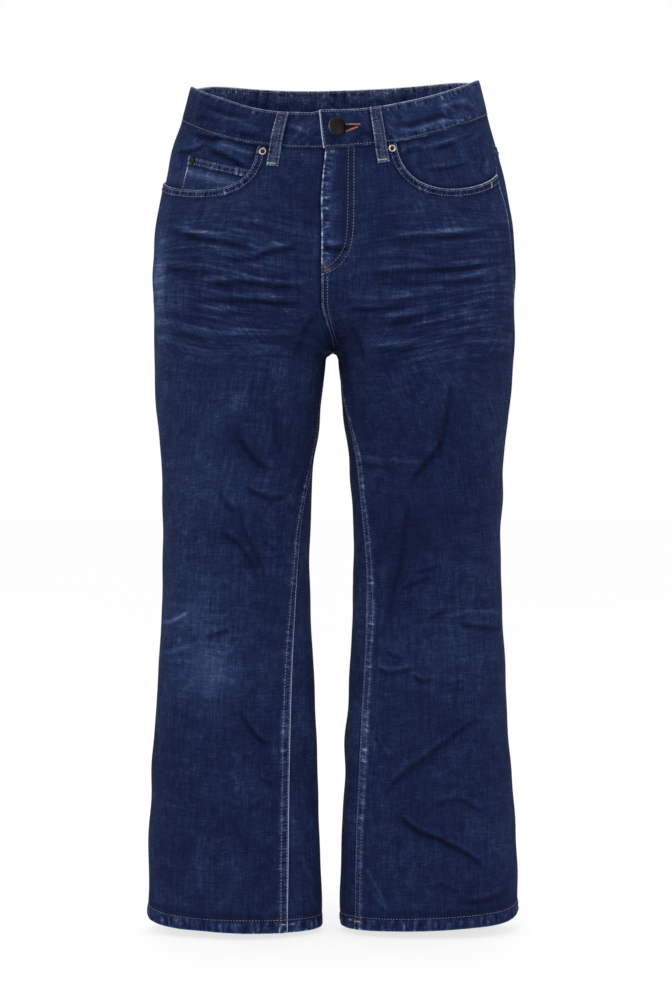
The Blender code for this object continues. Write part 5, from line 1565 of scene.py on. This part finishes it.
def metal_material(name, dark, light, roughness, glint_at=None):
    """The last argument, if given, is the centre of a disc whose face is painted lighter and whose rim is painted with
    a bright highlight, both on the wearer's right.
    """
    material = bpy.data.materials.new(name)
    material.use_nodes = True
    tree = material.node_tree
    shader = tree.nodes["Principled BSDF"]
    spot = node(tree, "TexCoord", output="Object")
    worn = noise(tree, scaled(tree, spot, 0.0028, 0.0028), 4.0, 0.65)
    scratch = noise(tree, scaled(tree, spot, 0.0004, 0.0030), 3.0, 0.6, 1.0)
    colour = ramp(tree, worn, ((0.38, dark), (0.72, light)))
    if glint_at:
        centred = node(tree, "Mapping", {},
                       {"Vector": spot, "Location": [-value for value in glint_at]})
        radius = node(tree, "VectorMath", {"operation": "LENGTH"}, {0: centred}, output="Value")
        side = node(tree, "SeparateXYZ", {}, {0: centred})
        # Painted light: the face grows lighter towards the wearer's right.
        across = maths(tree, "MULTIPLY_ADD", side, -40.0, 0.35)
        colour = node(tree, "MixRGB", {},
                      {0: ramp(tree, across, ((0.0, "000000"), (1.0, "ffffff"))),
                                           1: colour, 2: linear("2c2c2a")})
        # A painted highlight: a bright crescent on the rim on the wearer's right.
        edge = maths(tree, "MULTIPLY_ADD", side, -110.0,
                     maths(tree, "MULTIPLY_ADD", radius, 900.0, -9.2))
        colour = node(tree, "MixRGB", {}, {0: ramp(tree, edge, ((0.0, "000000"), (1.0, "ffffff"))),
                                           1: colour, 2: linear("b8b4ac")})
    tree.links.new(colour, shader.inputs["Base Color"])
    rough = maths(tree, "MULTIPLY_ADD", scratch, 0.12, roughness - 0.06)
    tree.links.new(rough, shader.inputs["Roughness"])
    bump = node(tree, "Bump", {}, {"Height": scratch, "Strength": 0.05, "Distance": 0.0002})
    tree.links.new(bump, shader.inputs["Normal"])
    shader.inputs["Metallic"].default_value = 1.0
    return material


button_turn = float(turn_at(0.0687, 0.0006))
button_place = above(LEFT, 0.0687, button_turn, 0.0072) + (0.0017, 0.0, 0.0)
button_metal = metal_material("blackened_bronze_with_painted_glint", "090909", "1a1917", 0.42,
                              button_place.tolist())
black_metal = metal_material("blackened_bronze", "0f0f10", "2a2724", 0.34)
pale_metal = metal_material("pale_nickel", "8f8a80", "d0ccc2", 0.30)
dark_hollow = metal_material("tarnished_hollow", "1a1816", "4a443c", 0.45)


def turned(name, profile, piece, place, material, nodes, steps=48, hollow=None, tip=0.0):
    """Turns (radius, height) points into metal, standing on the piece and tipped to the left."""
    spot, up, _, _ = surface_of(piece).find_nearest(Vector(place))
    work = bmesh.new()
    verts = [work.verts.new((radius, 0.0, height)) for radius, height in profile]
    edges = [work.edges.new(pair) for pair in zip(verts, verts[1:])]
    bmesh.ops.spin(work, geom=verts + edges, cent=(0, 0, 0), axis=(0, 0, 1),
                   angle=2 * math.pi, steps=steps, use_merge=True)
    bmesh.ops.remove_doubles(work, verts=work.verts, dist=1e-6)
    bmesh.ops.recalc_face_normals(work, faces=work.faces)
    for face in work.faces:
        middle = face.calc_center_median()
        face.material_index = int(hollow is not None and math.hypot(middle.x, middle.y) < hollow)
    stand = Matrix.Translation(spot) @ Matrix.Rotation(tip, 4, "Z") @ up.to_track_quat("Z", "Y").to_matrix().to_4x4()
    bmesh.ops.transform(work, matrix=stand, verts=work.verts)
    mesh = bpy.data.meshes.new(name)
    work.to_mesh(mesh)
    work.free()
    mesh.shade_smooth()
    mesh.set_sharp_from_angle(angle=math.radians(50))
    for one in (material, dark_hollow):
        mesh.materials.append(one)
    made = bpy.data.objects.new(name, mesh)
    bpy.context.scene.collection.objects.link(made)
    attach(made, "root")
    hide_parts(*nodes)
    return made


def rounded(points, count=5):
    """The profile with its corners eased, by cutting each twice."""
    points = [tuple(point) for point in points]
    for _ in range(count // 2):
        eased = [points[0]]
        for (ar, ah), (br, bh) in zip(points, points[1:]):
            eased.append((ar * 0.75 + br * 0.25, ah * 0.75 + bh * 0.25))
            eased.append((ar * 0.25 + br * 0.75, ah * 0.25 + bh * 0.75))
        eased.append(points[-1])
        points = eased
    return points


# The button hangs a little askew on its shank, so its left edge lies near the cloth.
BUTTON = rounded(((0.0, -0.0016), (0.0044, -0.0016), (0.0046, 0.0032), (0.0094, 0.0035),
                  (0.0103, 0.0043),
                  (0.0104, 0.0053), (0.0096, 0.0059), (0.0088, 0.0058), (0.0082, 0.0051),
                  (0.0060, 0.0057),
                  (0.0030, 0.0062), (0.0, 0.0063)))
turned("waist_button_metal", BUTTON, band, above(LEFT, 0.0687, button_turn), button_metal,
       ("waist_button",), 72, tip=0.46)
RIVET = rounded(((0.0, -0.0004), (0.0036, -0.0004), (0.0041, 0.0003), (0.0038, 0.0012),
                 (0.0030, 0.0014),
                 (0.0023, 0.0010), (0.0019, 0.0003), (0.0009, 0.0003), (0.0008, 0.0009),
                 (0.0, 0.0011)))
for name, leg, x, drop, piece, metal, slot in (
        ("rivet_front_right", RIGHT, 0.0770, 0.0930, front_right, pale_metal, "rivet_metal"),
        ("rivet_front_left", LEFT, 0.0622, 0.0900, front_left, pale_metal, "rivet_metal"),
        ("rivet_coin_pocket", RIGHT, 0.1560, 0.0970, coin, black_metal, "dark_metal")):
    turn = float(turn_at(drop, x))
    turned(name + "_metal", RIVET, piece, above(leg, drop, turn, 0.0 if piece is coin else 0.004),
           metal, (name,), 40, hollow=0.0024)


# ---------------------------------------------------------------------------------------------
# Floor and light: a white studio with a floor of acrylic lit from below, so that shadows on it
# stay faint, a broad soft light on either side and one from above in front.
# ---------------------------------------------------------------------------------------------
ground_mesh = bpy.data.meshes.new("floor")
work = bmesh.new()
bmesh.ops.create_grid(work, x_segments=1, y_segments=1, size=60.0)
work.to_mesh(ground_mesh)
work.free()
floor = bpy.data.objects.new("floor", ground_mesh)
ground_mesh.transform(Matrix.Translation((0.0, 0.0, -0.9550)))
paper = bpy.data.materials.new("lit_white_acrylic")
paper.use_nodes = True
tree = paper.node_tree
tint = noise(tree, node(tree, "TexCoord", output="Object"), 1.0)
shader = tree.nodes["Principled BSDF"]
tree.links.new(ramp(tree, tint, ((0.0, "8a8a8a"), (1.0, "8e8e8e"))), shader.inputs["Base Color"])
shader.inputs["Emission Color"].default_value = linear("ffffff")
shader.inputs["Emission Strength"].default_value = 0.72
shader.inputs["Roughness"].default_value = 1.0
shader.inputs["Specular IOR Level"].default_value = 0.0
ground_mesh.materials.append(paper)
bpy.context.scene.collection.objects.link(floor)


def softbox(name, place, aim, width, height, power):
    light = bpy.data.lights.new(name, "AREA")
    light.shape = "RECTANGLE"
    light.size = width
    light.size_y = height
    light.energy = power
    lamp = bpy.data.objects.new(name, light)
    lamp.location = place
    lamp.rotation_euler = (Vector(aim) - Vector(place)).to_track_quat("-Z", "Y").to_euler()
    bpy.context.scene.collection.objects.link(lamp)


softbox("left_softbox", (-2.4, -1.3, -0.1), (0.0, 0.0, -0.45), 1.4, 2.0, 21.0)
softbox("right_softbox", (2.4, -1.3, -0.1), (0.0, 0.0, -0.45), 1.4, 2.0, 21.0)
softbox("front_softbox", (-0.5, -2.6, 1.9), (0.0, 0.0, -0.45), 1.6, 1.2, 21.0)
softbox("back_softbox", (0.0, 2.6, 1.6), (0.0, 0.0, -0.45), 2.4, 1.4, 20.0)

world = bpy.data.worlds.new("studio")
world.use_nodes = True
world.node_tree.nodes["Background"].inputs["Color"].default_value = (1.0, 1.0, 1.0, 1.0)
world.node_tree.nodes["Background"].inputs["Strength"].default_value = 1.0
bpy.context.scene.world = world
bpy.context.scene.view_settings.view_transform = "Standard"
bpy.context.scene.view_settings.look = "None"
